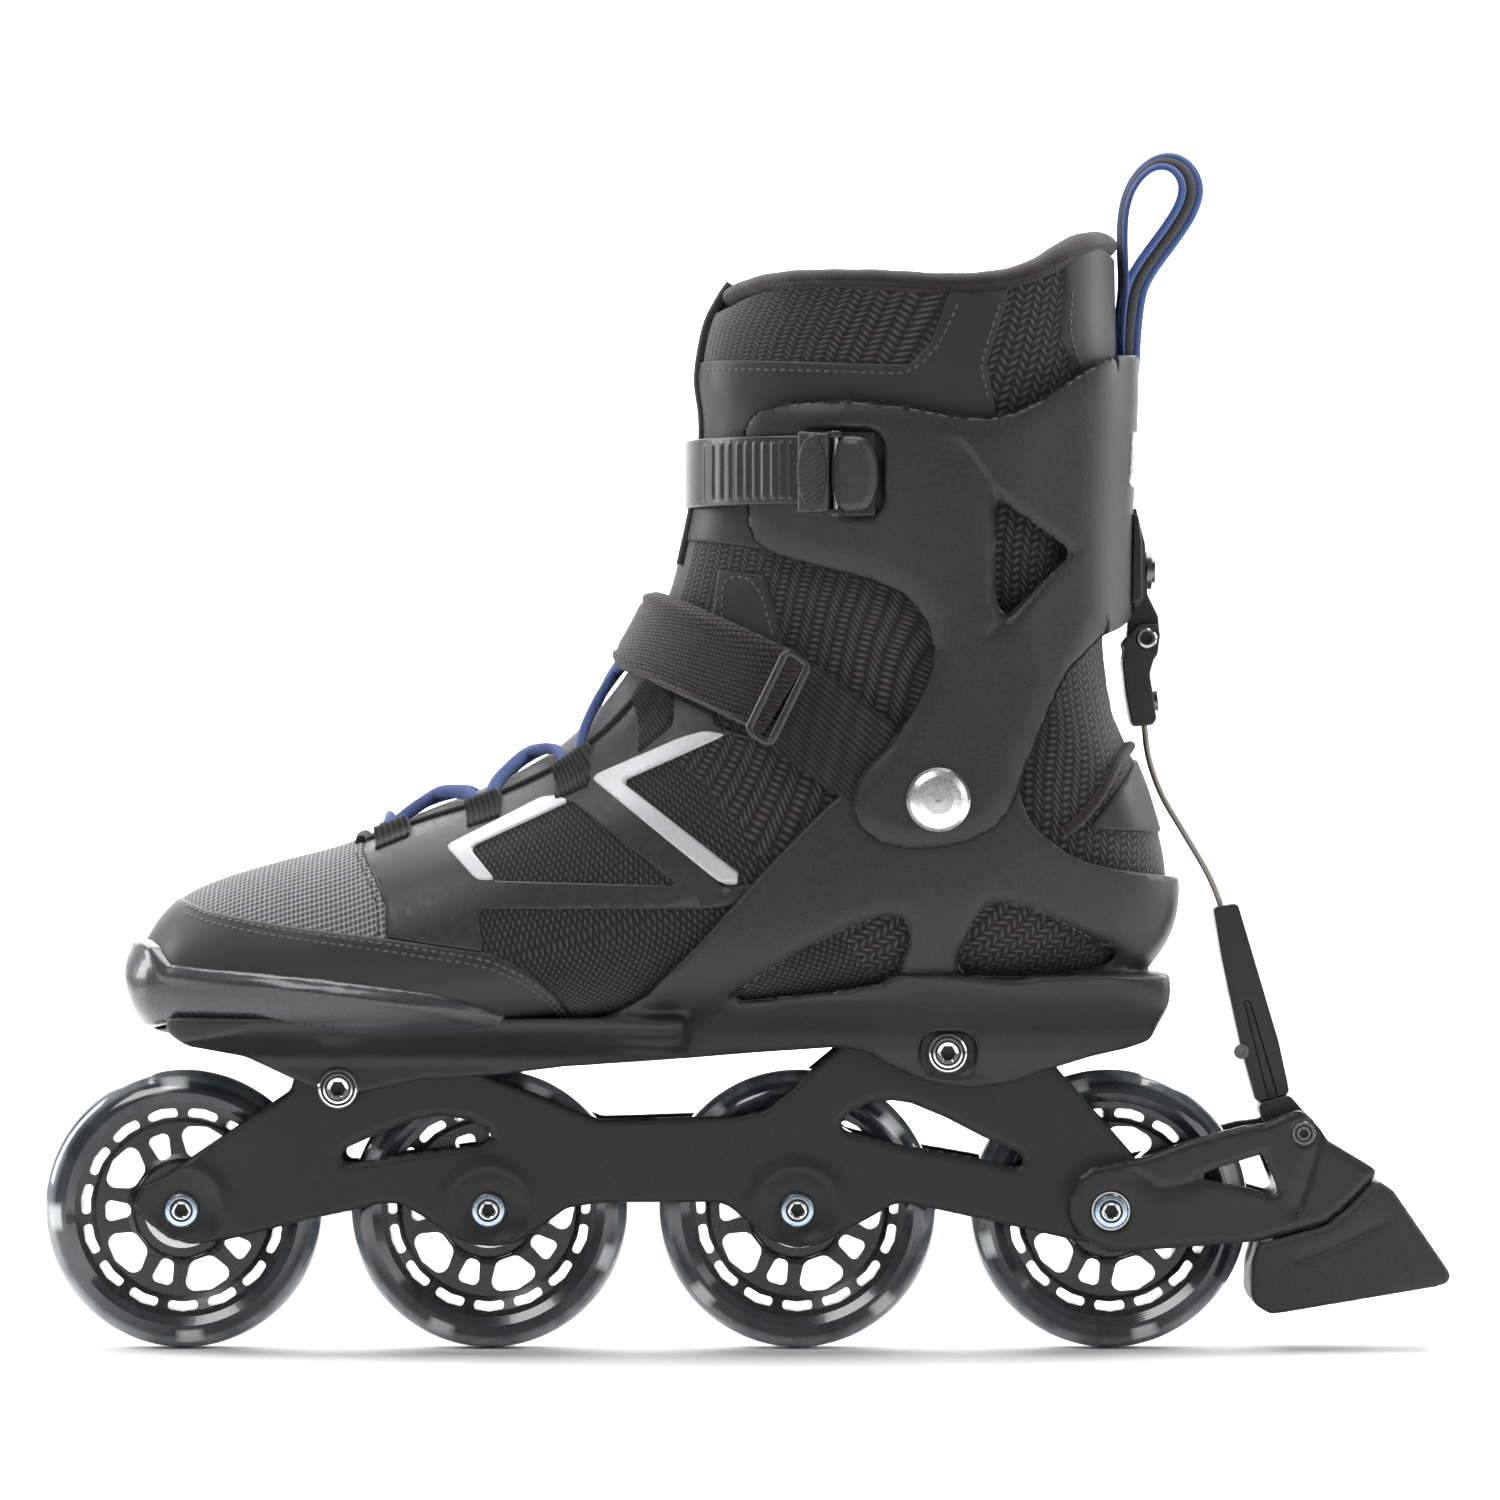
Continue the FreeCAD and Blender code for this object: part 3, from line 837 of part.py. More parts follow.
keep("bracket_screw", boolean("MultiFuse", "bracket_screw", head, [dome, shk]))

# yoke: fork whose cheeks pass either side of the bracket, with a slot for the rod
yoke = mid_plate("brake_yoke_blank", YOKE_OUTLINE, 1.2, 9.0, [(tx, tz, 2.95)])
fork = box("brake_yoke_gap", 130, 152, -5.35, 5.35, 198.4, 214)
rodway = mid_plate("brake_yoke_slot", [(140.2, 197.0), (143.4, 197.6), (146.2, 178.0), (142.4, 178.0)], 0.6, 1.1)
ycut = boolean("MultiFuse", "brake_yoke_cutters", fork, [rodway])
keep("brake_yoke", boolean("Cut", "brake_yoke", yoke, ycut))
upin = prim("Cylinder", "brake_upper_pin", (tx, -9.6, tz), {}, ACROSS)
upin.Radius, upin.Height = 2.9, 19.2
keep("brake_upper_pin", upin)
yscrew = feature("yoke_screw", Part.makeCylinder(3.0, 1.4, Vector(146.25, 0, 186.2), Vector(0.995, 0, 0.1)).cut(
    Part.makeCylinder(1.6, 1.0, Vector(146.9, 0, 186.26), Vector(0.995, 0, 0.1))))

# rod: bent steel wire, straight runs joined by tangent arcs
rr = D["rod_radius"]


def tube_path(points, k=0.45):
    vs = [Vector(x, 0, z) for x, z in points]
    edges = []
    at = vs[0]
    for i in range(1, len(vs) - 1):
        a, b, c = vs[i - 1], vs[i], vs[i + 1]
        u, w = (a - b), (c - b)
        la, lc = u.Length, w.Length
        u.normalize()
        w.normalize()
        ang = u.getAngle(w)
        t = k * min(la, lc)
        q1, q2 = b + u * t, b + w * t
        r = t * math.tan(ang / 2)
        bis = u + w
        bis.normalize()
        m = b + bis * (r / math.sin(ang / 2) - r)
        edges.append(Part.LineSegment(at, q1).toShape())
        edges.append(Part.Arc(q1, m, q2).toShape())
        at = q2
    edges.append(Part.LineSegment(at, vs[-1]).toShape())
    return Part.Wire(edges)


ROD = [(142.0, 194.6), (143.6, 181.9), (144.6, 170.5), (148.4, 159.4), (155.6, 147.6), (163.4, 134.6), (168.0, 121.0), (172.6, 104.5)]
path = tube_path(ROD)
d0 = Vector(ROD[1][0] - ROD[0][0], 0, ROD[1][1] - ROD[0][1])
prof = Part.Wire([Part.Circle(Vector(ROD[0][0], 0, ROD[0][1]), d0, rr).toShape()])
rod = path.makePipeShell([prof], True, False, 2)
print("rod volume", round(rod.Volume, 2), "section x length", round(math.pi * rr * rr * path.Length, 2), "length", round(path.Length, 1))
keep("brake_rod", feature("brake_rod", rod))

# sleeve: the height adjuster that takes the rod, square section, bored for the rod, slotted on its outer face
sleeve = outline_prism(SLEEVE_OUTLINE, 1.5, -6.0, 6.0)
bore_path = tube_path(ROD)
bore_prof = Part.Wire([Part.Circle(Vector(ROD[0][0], 0, ROD[0][1]), d0, rr + 0.04).toShape()])
sleeve = sleeve.cut(bore_path.makePipeShell([bore_prof], True, False, 2))
slot = outline_prism([(172.0, 100.2), (174.2, 99.6), (182.0, 72.6), (179.0, 72.0)], 0.6, -7, -4.6)
sleeve = sleeve.cut(slot)
keep("brake_sleeve", feature("brake_sleeve", sleeve))

clevis = mid_plate("brake_clevis_blank", CLEVIS_OUTLINE, 2.0, 8.6, [(lx, lz, 2.55)])
keep("brake_clevis", clevis)
clamp = ycyl(2.6, 178.0, 78.5, 6.02, 7.6).cut(ycyl(1.3, 178.0, 78.5, 6.8, 8.0))
clamp2 = ycyl(2.2, 171.4, 85.2, -7.2, -6.02).cut(ycyl(1.1, 171.4, 85.2, -7.5, -6.6))
keep("link_clamp_screws", feature("link_clamp_screws", Part.makeCompound([yscrew.Shape, clamp, clamp2])))
doc.removeObject(yscrew.Name)

# arm: two cheeks outside the frame plates, joined behind the rear wheel by the pad holder
cheeks = outline_prism(ARM_OUTLINE, 4.0, -D["arm_outer"], -D["arm_inner"], [(ARM_WINDOW, 2.0)]).fuse(
    outline_prism(ARM_OUTLINE, 4.0, D["arm_inner"], D["arm_outer"], [(ARM_WINDOW, 2.0)]))
ears = outline_prism([(181.6, 66.4), (186.9, 68.7), (189.2, 68.1), (193.5, 63.3), (195.5, 60.1), (196.0, 52.0), (186.0, 50.5), (181.8, 54.0)], 2.0, -16.5, 16.5)
hw = D["holder_half_width"]
holder = outline_prism([(182.4, 56.0), (195.5, 60.0), (209.4, 51.8), (208.8, 49.5), (201.8, 42.3), (195.1, 36.6), (178.6, 32.3), (180.6, 45.0)], 2.0, -hw, hw)
arm = cheeks.fuse(ears).fuse(holder)
room = outline_prism([(174, 74), (202, 74), (202, 64), (196.2, 57.6), (192.6, 55.2), (188.6, 54.2), (184.6, 55.2), (181.6, 57.6), (178, 62)], 1.0, -9.3, 9.3)
arm = arm.cut(room)
arm = arm.cut(ycyl(43.0, ax4, zc, -12.9, 12.9))
arm = arm.cut(ycyl(D["arm_bore_radius"], ax4, zc, -30, 30))
arm = arm.cut(ycyl(2.55, lx, lz, -30, 30))
arm = arm.cut(ycyl(3.7, lx, lz, -21, -19.0)).cut(ycyl(3.7, lx, lz, 19.0, 21))
arm = arm.cut(ycyl(2.05, 199.0, 44.5, -3, 3))
solids = sorted(arm.Solids, key=lambda q: -q.Volume)
print("arm solids", [round(q.Volume) for q in solids])
keep("brake_arm", feature("brake_arm", solids[0]))
lpin = ycyl(2.5, lx, lz, -19.0, 19.0).fuse(ycyl(3.6, lx, lz, -19.9, -19.0)).fuse(ycyl(3.6, lx, lz, 19.0, 19.9))
lpin = lpin.cut(ycyl(1.7, lx, lz, -21, -19.2)).cut(ycyl(1.7, lx, lz, 19.2, 21))
keep("brake_lower_pin", feature("brake_lower_pin", lpin))
bushes = []
for s in (-1, 1):
    y0, y1 = (-(D["arm_outer"] + 0.1), -(p_out + 0.02)) if s < 0 else (p_out + 0.02, D["arm_outer"] + 0.1)
    bushes.append(ycyl(D["bush_radius"], ax4, zc, y0, y1).cut(ycyl(D["sleeve_radius"] + 0.03, ax4, zc, y0 - 1, y1 + 1)))
keep("brake_arm_bushes", feature("brake_arm_bushes", Part.makeCompound(bushes)))

padhw = D["pad_half_width"]
brake_pad = outline_prism(PAD_OUTLINE, 2.5, -padhw, padhw)
brake_pad = brake_pad.cut(solids[0].copy())
brake_pad = brake_pad.cut(outline_prism([(170, 31.0), (182.4, 57.0), (209.6, 50.6), (209.2, 49.6), (202.0, 42.5), (195.3, 36.4), (176.0, 31.2)], 0.5, -60, 60))
brake_pad = brake_pad.cut(ycyl(44.0, ax4, zc, -13, 13))
brake_pad = sorted(brake_pad.Solids, key=lambda q: -q.Volume)[0]
screw_axis = Vector(-0.55, 0, 0.835)
way = Part.makeCylinder(2.05, 60, Vector(199.0, 0, 44.5) - screw_axis * 40, screw_axis)
counter = Part.makeCylinder(4.3, 26, Vector(199.0, 0, 44.5) - screw_axis * 40, screw_axis)
brake_pad = brake_pad.cut(way).cut(counter)
arm2 = solids[0].cut(Part.makeCylinder(2.05, 8.5, Vector(199.0, 0, 44.5) - screw_axis * 4.5, screw_axis))
PARTS["brake_arm"].Shape = arm2
keep("brake_pad", feature("brake_pad", brake_pad))
psc = Part.makeCylinder(2.0, 17.5, Vector(199.0, 0, 44.5) - screw_axis * 13.9, screw_axis).fuse(
    Part.makeCylinder(4.0, 2.4, Vector(199.0, 0, 44.5) - screw_axis * 16.3, screw_axis))
psc = psc.common(Part.makeBox(200, 200, 200, Vector(100, -100, 0)))
keep("pad_screw", feature("pad_screw", psc))

# ---------------------------------------------------------------- soft boot
wall = D["liner_wall"]
inner = last_solid(-wall)
body_outer = last
sr = D["split_radius"]
# ankle wedge: the shaft keeps what lies outside the split circle between the two boundary directions


def sector(a0, a1, r0, r1, y0=-90, y1=90):
    n = 24
    pts = []
    for i in range(n + 1):
        a = math.radians(a0 + (a1 - a0) * i / n)
        pts.append((px + r1 * math.cos(a), pz + r1 * math.sin(a)))
    for i in range(n + 1):
        a = math.radians(a1 + (a0 - a1) * i / n)
        pts.append((px + r0 * math.cos(a), pz + r0 * math.sin(a)))
    return outline_prism(pts, 0.01, y0, y1)


collar_low = [(x, z - 6.5) for x, z in COLLAR_TOP]
under_collar = outline_prism([(-60, 100)] + [(-60, 295)] + [(x, z - 0.3) for x, z in collar_low] + [(190, 311), (190, 100)], 0.01, -90, 90)
collar_zone = outline_prism([(-20, 295.5)] + collar_low + [(175, 311), (175, 320)] + list(reversed(COLLAR_TOP)) + [(-20, 302)], 0.01, -90, 90)
ring = last.cut(inner)
shaft = ring.common(sector(21.0, 130.0, sr + 0.35, 260)).common(under_collar)
solids = sorted(shaft.Solids, key=lambda q: -q.Volume)
print("shaft solids", [round(q.Volume) for q in solids])
keep("boot_shaft", feature("boot_shaft", solids[0]))

lower = ring.cut(sector(12.0, 152.0, sr, 300)).cut(outline_prism([(-60, 330), (200, 330), (200, 215), (-60, 215)], 0.01, -90, 90))
# throat: the slot the tongue closes
throat = Part.makeBox(110, 44, 120, Vector(-82, -22, 140))
lower = lower.cut(throat)
solids = sorted(lower.Solids, key=lambda q: -q.Volume)
print("lower boot solids", [round(q.Volume) for q in solids])
lower_boot = solids[0].cut(Part.makeBox(40, 20.4, 60, Vector(129.6, -10.2, 180)))        # hollow behind the heel for the brake yoke
solids = sorted(lower_boot.Solids, key=lambda q: -q.Volume)
keep("boot_upper", feature("boot_upper", solids[0]))

tongue = last_solid(1.8).cut(last_solid(-3.5)).common(Part.makeBox(110, 43.4, 120, Vector(-81.7, -21.7, 140))).cut(sector(12.0, 152.0, sr - 30, 300)).cut(
    outline_prism([(-60, 330), (200, 330), (200, 215), (-60, 215)], 0.01, -90, 90)).cut(Part.makeBox(400, 200, 60, Vector(-200, -100, 80)))
solids = sorted(tongue.Solids, key=lambda q: -q.Volume)
print("tongue solids", [round(q.Volume) for q in solids])
keep("tongue", feature("tongue", solids[0]))

collar = last_solid(1.5).cut(last_solid(-wall - 3.0)).common(collar_zone)
solids = sorted(collar.Solids, key=lambda q: -q.Volume)
print("collar solids", [round(q.Volume) for q in solids])
keep("collar", feature("collar", solids[0]))

ins = last_solid(-wall - 0.1).common(outline_prism([(-150, 92)] + [(-150, 103.0), (-60, 103.5), (20, 107.5), (90, 111), (160, 113), (160, 92)], 0.01, -90, 90))
ins = sorted(ins.Solids, key=lambda q: -q.Volume)[0]
keep("insole", feature("insole", ins))

# lace runs over the tongue, flat and rounded, at the stations of the webbing loops
runs = []
lace_top, lace_low = last_solid(4.4), last_solid(2.1)
lace_skin = lace_top.cut(lace_low).common(Part.makeBox(110, 46, 100, Vector(-90, -23, 130)))
for (x0, z0), (x1, z1) in zip(LACE_LOOPS, LACE_LOOPS[1:] + [(13.0, 200.0)]):
    cx, cz = (x0 + x1) / 2, (z0 + z1) / 2
    tang = Vector(x1 - x0, 0, z1 - z0)
    tang.normalize()
    for sgn in (-1, 1):
        b = Part.makeBox(5.6, 70, 40, Vector(-2.8, -35, -20))
        b.rotate(Vector(0, 0, 0), Vector(0, 0, 1), sgn * 17)
        ang = math.degrees(math.atan2(tang.z, tang.x))
        b.rotate(Vector(0, 0, 0), Vector(0, 1, 0), -ang)
        b.translate(Vector(cx, 0, cz + 4))
        runs.append(b.common(lace_skin))
        break
first = Part.makeBox(5.6, 70, 40, Vector(-2.8, -35, -20))
first.translate(Vector(-75.5, 0, 152))
runs.insert(0, first.common(lace_skin))
runs = [sorted(q.Solids, key=lambda q: -q.Volume)[0] for q in runs if q.Solids]
print("lace runs", [round(q.Volume) for q in runs])
keep("laces", feature("laces", Part.makeCompound(runs)))

loops = []
loop_skin = last_solid(3.6).cut(last_solid(0.3))
for (x, z) in LACE_LOOPS[:3]:
    for s in (-1, 1):
        b = Part.makeBox(8.5, 8.0, 60, Vector(x - 4.2, 23.2 if s > 0 else -31.2, z - 30))
        q = b.common(loop_skin)
        q = sorted(q.Solids, key=lambda q: -q.Volume)
        if q:
            loops.append(q[0])
print("lace loops", len(loops))
keep("lace_loops", feature("lace_loops", Part.makeCompound(loops)))

# padded instep strap, the ring at its outer end, and the webbing from the ring to the shell
pad_skin = last_solid(8.8, 5, 18).cut(last_solid(4.9, 5, 18)).common(outline_prism(STRAP_PAD, 3.0, -80, 80))
pad_skin = sorted(pad_skin.Solids, key=lambda q: -q.Volume)
print("instep strap", [round(q.Volume) for q in pad_skin])
keep("instep_strap", feature("instep_strap", pad_skin[0]))

# ring: a bent wire rectangle at the strap's outer end, and webbing from it down to the shell
rp = [(51.0, 196.2), (34.6, 173.6)]
ya = -49.8
ring_wire = Part.Wire(Part.__sortEdges__([g.toShape() for g in rounded([(40.6, 200.6), (46.6, 196.0), (35.6, 173.4), (29.4, 177.6)], 2.0)]))
ring_wire = to_xz(ring_wire, ya)
e0 = ring_wire.Edges[0]
start = e0.valueAt(e0.FirstParameter)
direction = e0.tangentAt(e0.FirstParameter)
prof = Part.Wire([Part.Circle(start, direction, 1.3).toShape()])
ring_solid = ring_wire.makePipeShell([prof], True, True, 2)
keep("strap_ring", feature("strap_ring", ring_solid))
web = last_solid(3.8, 8, 20).cut(last_solid(2.3, 8, 20)).common(
    outline_prism([(44.6, 195.4), (34.6, 176.4), (53.2, 160.9), (71.0, 177.0)], 0.8, -70, -20))
web = sorted(web.Solids, key=lambda q: -q.Volume)[0]
keep("strap_webbing", feature("strap_webbing", web))

# ---------------------------------------------------------------- pull loop at the back of the shaft
loop_outer, loop_inner = [], []
pl = D["pull_loop_thickness"] / 2
mid_pts = LOOP_PATH
for i in range(len(mid_pts)):
    nx, nz = normal(mid_pts, i)
    loop_outer.append((mid_pts[i][0] + nx * pl, mid_pts[i][1] + nz * pl))
    loop_inner.append((mid_pts[i][0] - nx * pl, mid_pts[i][1] - nz * pl))
c1, c2 = Part.BSplineCurve(), Part.BSplineCurve()
c1.interpolate([Vector(a, b, 0) for a, b in loop_outer])
c2.interpolate([Vector(a, b, 0) for a, b in reversed(loop_inner)])
body = new_body("pull_loop")
sk = new_sketch(body, "pull_loop_sketch", "XZ_Plane",
                [[c1, Part.LineSegment(c1.EndPoint, c2.StartPoint), c2, Part.LineSegment(c2.EndPoint, c1.StartPoint)]])
pad(body, sk, "dims.pull_loop_width", midplane=True)
doc.recompute()
keep("pull_loop", body)

# ---------------------------------------------------------------- check and write
doc.recompute()
bad = []
for ob in doc.Objects:
    if any(word in ob.State for word in ("Invalid", "Error")):
        bad.append(ob.Name + ":" + ",".join(ob.State))
for name, ob in PARTS.items():
    if ob.Shape.isNull() or not ob.Shape.isValid():
        bad.append(name + ": shape not valid")
if bad:
    raise SystemExit("failed objects: " + "; ".join(bad))
assert len(PARTS) <= 60, len(PARTS)
for old in os.listdir("parts"):
    if old.endswith(".step") and old[:-5] not in PARTS:
        os.remove(os.path.join("parts", old))
for name, ob in PARTS.items():
    ob.Shape.exportStep("parts/%s.step" % name)
print(len(PARTS), "parts written")
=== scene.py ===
import bpy, bmesh, math, random
import numpy as np
from mathutils import Vector, Matrix
from mathutils.geometry import delaunay_2d_cdt


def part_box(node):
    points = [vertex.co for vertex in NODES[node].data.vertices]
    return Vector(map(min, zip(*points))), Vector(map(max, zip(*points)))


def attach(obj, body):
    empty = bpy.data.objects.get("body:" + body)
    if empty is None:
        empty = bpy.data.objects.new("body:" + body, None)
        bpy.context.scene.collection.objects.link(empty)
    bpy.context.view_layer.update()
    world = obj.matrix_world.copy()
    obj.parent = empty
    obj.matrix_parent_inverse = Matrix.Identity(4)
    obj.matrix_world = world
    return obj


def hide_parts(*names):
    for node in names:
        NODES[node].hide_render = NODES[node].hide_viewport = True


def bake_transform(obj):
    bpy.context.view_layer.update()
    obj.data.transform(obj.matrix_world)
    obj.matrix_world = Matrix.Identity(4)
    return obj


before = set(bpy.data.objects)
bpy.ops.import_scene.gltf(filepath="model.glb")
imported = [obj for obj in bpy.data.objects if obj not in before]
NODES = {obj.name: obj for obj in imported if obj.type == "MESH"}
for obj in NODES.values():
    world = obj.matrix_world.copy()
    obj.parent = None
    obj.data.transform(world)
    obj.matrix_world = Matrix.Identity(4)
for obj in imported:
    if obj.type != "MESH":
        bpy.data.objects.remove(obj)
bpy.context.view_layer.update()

random.seed(7)
MM = 0.001


# ------------------------------------------------------------------ drawing plane to millimetres
def side(points, depth=0.0):
    """Outline points drawn on a 1500-wide side sheet, to (X, Z) in mm at a distance depth in front of the mid-plane."""
    out = []
    for u, v in points:
        x, z = (u - 646.5) * 0.2888, (1346 - v) * 0.2888
        out.append((29.9 + (x - 29.9) * (1 - depth / 2500.0), 172.1 + (z - 172.1) * (1 - depth / 2500.0)))
    return np.array(out, float)


# ------------------------------------------------------------------ the form of the foot and leg
STATIONS = np.array([
    (-146.4, 111.0, -146.6, 105.0, 8.0, .50, 2.0, 2.0, 6.0),
    (-145.6, 113.6, -145.6, 100.5, 15.0, .55, 2.0, 2.2, 6.0),
    (-143.4, 117.6, -143.4, 96.8, 22.0, .60, 2.0, 2.5, 6.0),
    (-139.5, 123.6, -139.5, 94.6, 28.5, .62, 2.0, 2.8, 5.6),
    (-133.0, 129.6, -133.0, 93.6, 34.5, .64, 2.05, 3.1, 5.0),
    (-122.0, 134.6, -121.0, 92.9, 40.0, .66, 2.1, 3.3, 4.2),
    (-106.0, 139.4, -104.0, 92.3, 45.0, .68, 2.15, 3.5, 3.0),
    (-86.0, 144.8, -82.0, 92.0, 48.2, .70, 2.2, 3.5, 1.8),
    (-64.0, 153.6, -58.0, 92.4, 49.4, .70, 2.2, 3.5, 0.8),
    (-43.0, 162.0, -34.0, 93.2, 47.8, .69, 2.2, 3.4, 0.0),
    (-26.0, 171.5, -8.0, 94.6, 44.5, .66, 2.2, 3.3, 0.0),
    (-13.0, 183.5, 22.0, 96.6, 41.5, .62, 2.2, 3.2, 0.0),
    (-3.5, 196.0, 58.0, 98.6, 39.8, .58, 2.3, 3.2, 0.0),
    (3.5, 208.0, 98.0, 100.2, 39.2, .55, 2.4, 3.0, 0.0),
    (8.0, 219.0, 132.0, 104.8, 39.2, .54, 2.5, 2.8, 0.0),
    (10.8, 230.5, 147.6, 120.0, 39.4, .53, 2.5, 2.6, 0.0),
    (13.2, 241.5, 149.6, 138.0, 40.0, .52, 2.5, 2.4, 0.0),
    (15.2, 251.0, 144.8, 158.0, 40.8, .52, 2.5, 2.4, 0.0),
    (16.2, 260.0, 138.0, 176.0, 41.8, .52, 2.5, 2.4, 0.0),
    (16.2, 269.0, 133.3, 195.0, 42.8, .52, 2.5, 2.4, 0.0),
    (15.0, 278.5, 132.6, 216.0, 43.8, .52, 2.5, 2.4, 0.0),
    (16.0, 287.5, 133.0, 240.0, 44.6, .52, 2.5, 2.4, 0.0),
    (18.0, 295.5, 134.0, 263.0, 45.0, .521, 2.49, 2.4, 0.0),
    (21.5, 302.0, 134.6, 286.0, 44.8, .523, 2.48, 2.42, 0.0),
    (26.0, 310.0, 134.3, 306.0, 44.5, .52, 2.5, 2.4, 0.0),
    (30.0, 330.0, 134.0, 330.0, 44.0, .52, 2.5, 2.4, 0.0)])
NS = len(STATIONS)


def _normals(p):
    a = p[np.maximum(np.arange(NS) - 1, 0)]
    b = p[np.minimum(np.arange(NS) + 1, NS - 1)]
    t = b - a
    t /= np.hypot(t[:, 0], t[:, 1])[:, None]
    return np.stack([-t[:, 1], t[:, 0]], 1)


NF, NB = _normals(STATIONS[:, 0:2]), _normals(STATIONS[:, 2:4])


def station(s, d):
    """Grown station parameters at fractional index s (array) and offset d (array), smoothly interpolated."""
    s = np.clip(np.asarray(s, float), 0, NS - 1 - 1e-6)
    d = np.broadcast_to(np.asarray(d, float), s.shape)
    table = np.concatenate([STATIONS, NF, NB], 1)
    i = s.astype(int)
    f = (s - i)[:, None]
    p0, p1 = table[np.maximum(i - 1, 0)], table[i]
    p2, p3 = table[np.minimum(i + 1, NS - 1)], table[np.minimum(i + 2, NS - 1)]
    v = 0.5 * (2 * p1 + (p2 - p0) * f + (2 * p0 - 5 * p1 + 4 * p2 - p3) * f ** 2 + (3 * p1 - p0 - 3 * p2 + p3) * f ** 3)
    return (v[:, 0] + v[:, 9] * d, v[:, 1] + v[:, 10] * d, v[:, 2] - v[:, 11] * d, v[:, 3] - v[:, 12] * d,
            np.maximum(v[:, 4] + d, 1.0), v[:, 5], v[:, 6], v[:, 7], v[:, 8])


def place(s, a, d):
    """Points in mm on the form: s along the stations, a round the section (0 = front/top, + to the buckle side)."""
    fx, fz, bx, bz, w, p, ef, eb, yc = station(s, d)
    c, n = np.cos(a), np.sin(a)
    front = c >= 0
    e = np.where(front, ef, eb)
    ca, na = np.abs(c) ** (2 / e), np.abs(n) ** (2 / e)
    t = np.where(front, p - p * ca, p + (1 - p) * ca)
    y = np.where(n > 0, -1, 1) * w * na + yc
    return np.stack([fx + (bx - fx) * t, y, fz + (bz - fz) * t], 1)


def find(x, z, d=0.0):
    """(s, t) of side-view points: which station line passes through them, and how far along it."""
    x, z = np.atleast_1d(np.asarray(x, float)), np.atleast_1d(np.asarray(z, float))
    ss = np.linspace(0, NS - 1, (NS - 1) * 10 + 1)
    fx, fz, bx, bz = station(ss, np.full(ss.shape, float(d)))[:4]
    cr = (bx - fx)[:, None] * (z[None] - fz[:, None]) - (bz - fz)[:, None] * (x[None] - fx[:, None])
    sg = np.sign(cr)
    flip = (sg[:-1] * sg[1:]) <= 0
    k = np.where(flip.any(0), flip.argmax(0), len(ss) - 2)
    n = np.arange(len(x))
    f = cr[k, n] / (cr[k, n] - cr[k + 1, n] + 1e-12)
    s = ss[k] + np.clip(f, 0, 1) * (ss[1] - ss[0])
    fx, fz, bx, bz = station(s, np.full(s.shape, float(d)))[:4]
    l2 = (bx - fx) ** 2 + (bz - fz) ** 2
    t = ((x - fx) * (bx - fx) + (z - fz) * (bz - fz)) / l2
    return s, t


def angle(s, t):
    """Angle round the section (buckle side) of a point at t along its station line."""
    _, _, _, _, w, p, ef, eb, yc = station(s, np.zeros(s.shape))
    t = np.clip(t, 0.0, 1.0)
    cf = np.clip((p - t) / p, 0, 1) ** (ef / 2)
    cb = np.clip((t - p) / (1 - p), 0, 1) ** (eb / 2)
    c = np.where(t < p, cf, -cb)
    return np.arccos(np.clip(c, -1, 1))


def on_side(x, z, d, sign):
    """3-D points of side-view points on the form grown by d; sign -1 is the buckle side."""
    s, t = find(x, z, d if np.isscalar(d) else float(np.mean(d)))
    a = angle(s, t)
    return place(s, a if sign < 0 else -a, np.full(s.shape, d) if np.isscalar(d) else d)


def sd(poly, x, z):
    """Signed distance to a closed outline, positive inside, mm."""
    poly = np.asarray(poly, float)
    best = np.full(x.shape, 1e9)
    inside = np.zeros(x.shape, bool)
    for i in range(len(poly)):
        ax, az = poly[i - 1]
        bx, bz = poly[i]
        dx, dz = bx - ax, bz - az
        t = np.clip(((x - ax) * dx + (z - az) * dz) / (dx * dx + dz * dz + 1e-12), 0, 1)
        best = np.minimum(best, np.hypot(x - ax - t * dx, z - az - t * dz))
        cross = ((az > z) != (bz > z))
        with np.errstate(divide="ignore", invalid="ignore"):
            xi = ax + (z - az) / (dz if abs(dz) > 1e-12 else 1e-12) * dx
        inside ^= cross & (x < xi)
    return np.where(inside, best, -best)


def smooth(x, a, b):
    t = np.clip((x - a) / (b - a), 0, 1)
    return t * t * (3 - 2 * t)


# ------------------------------------------------------------------ mesh helpers
def new_mesh(name, verts, faces, uv=None, mat=None, smooth_shade=True):
    me = bpy.data.meshes.new(name)
    me.from_pydata([tuple(v) for v in np.asarray(verts, float) * MM], [], faces)
    me.validate()
    ob = bpy.data.objects.new(name, me)
    bpy.context.scene.collection.objects.link(ob)
    if uv is not None:
        layer = me.uv_layers.new(name="UVMap")
        idx = np.zeros(len(me.loops), int)
        me.loops.foreach_get("vertex_index", idx)
        layer.data.foreach_set("uv", np.asarray(uv, float)[idx].ravel())
    if smooth_shade:
        me.polygons.foreach_set("use_smooth", [True] * len(me.polygons))
    if mat is not None:
        me.materials.append(mat)
    return ob


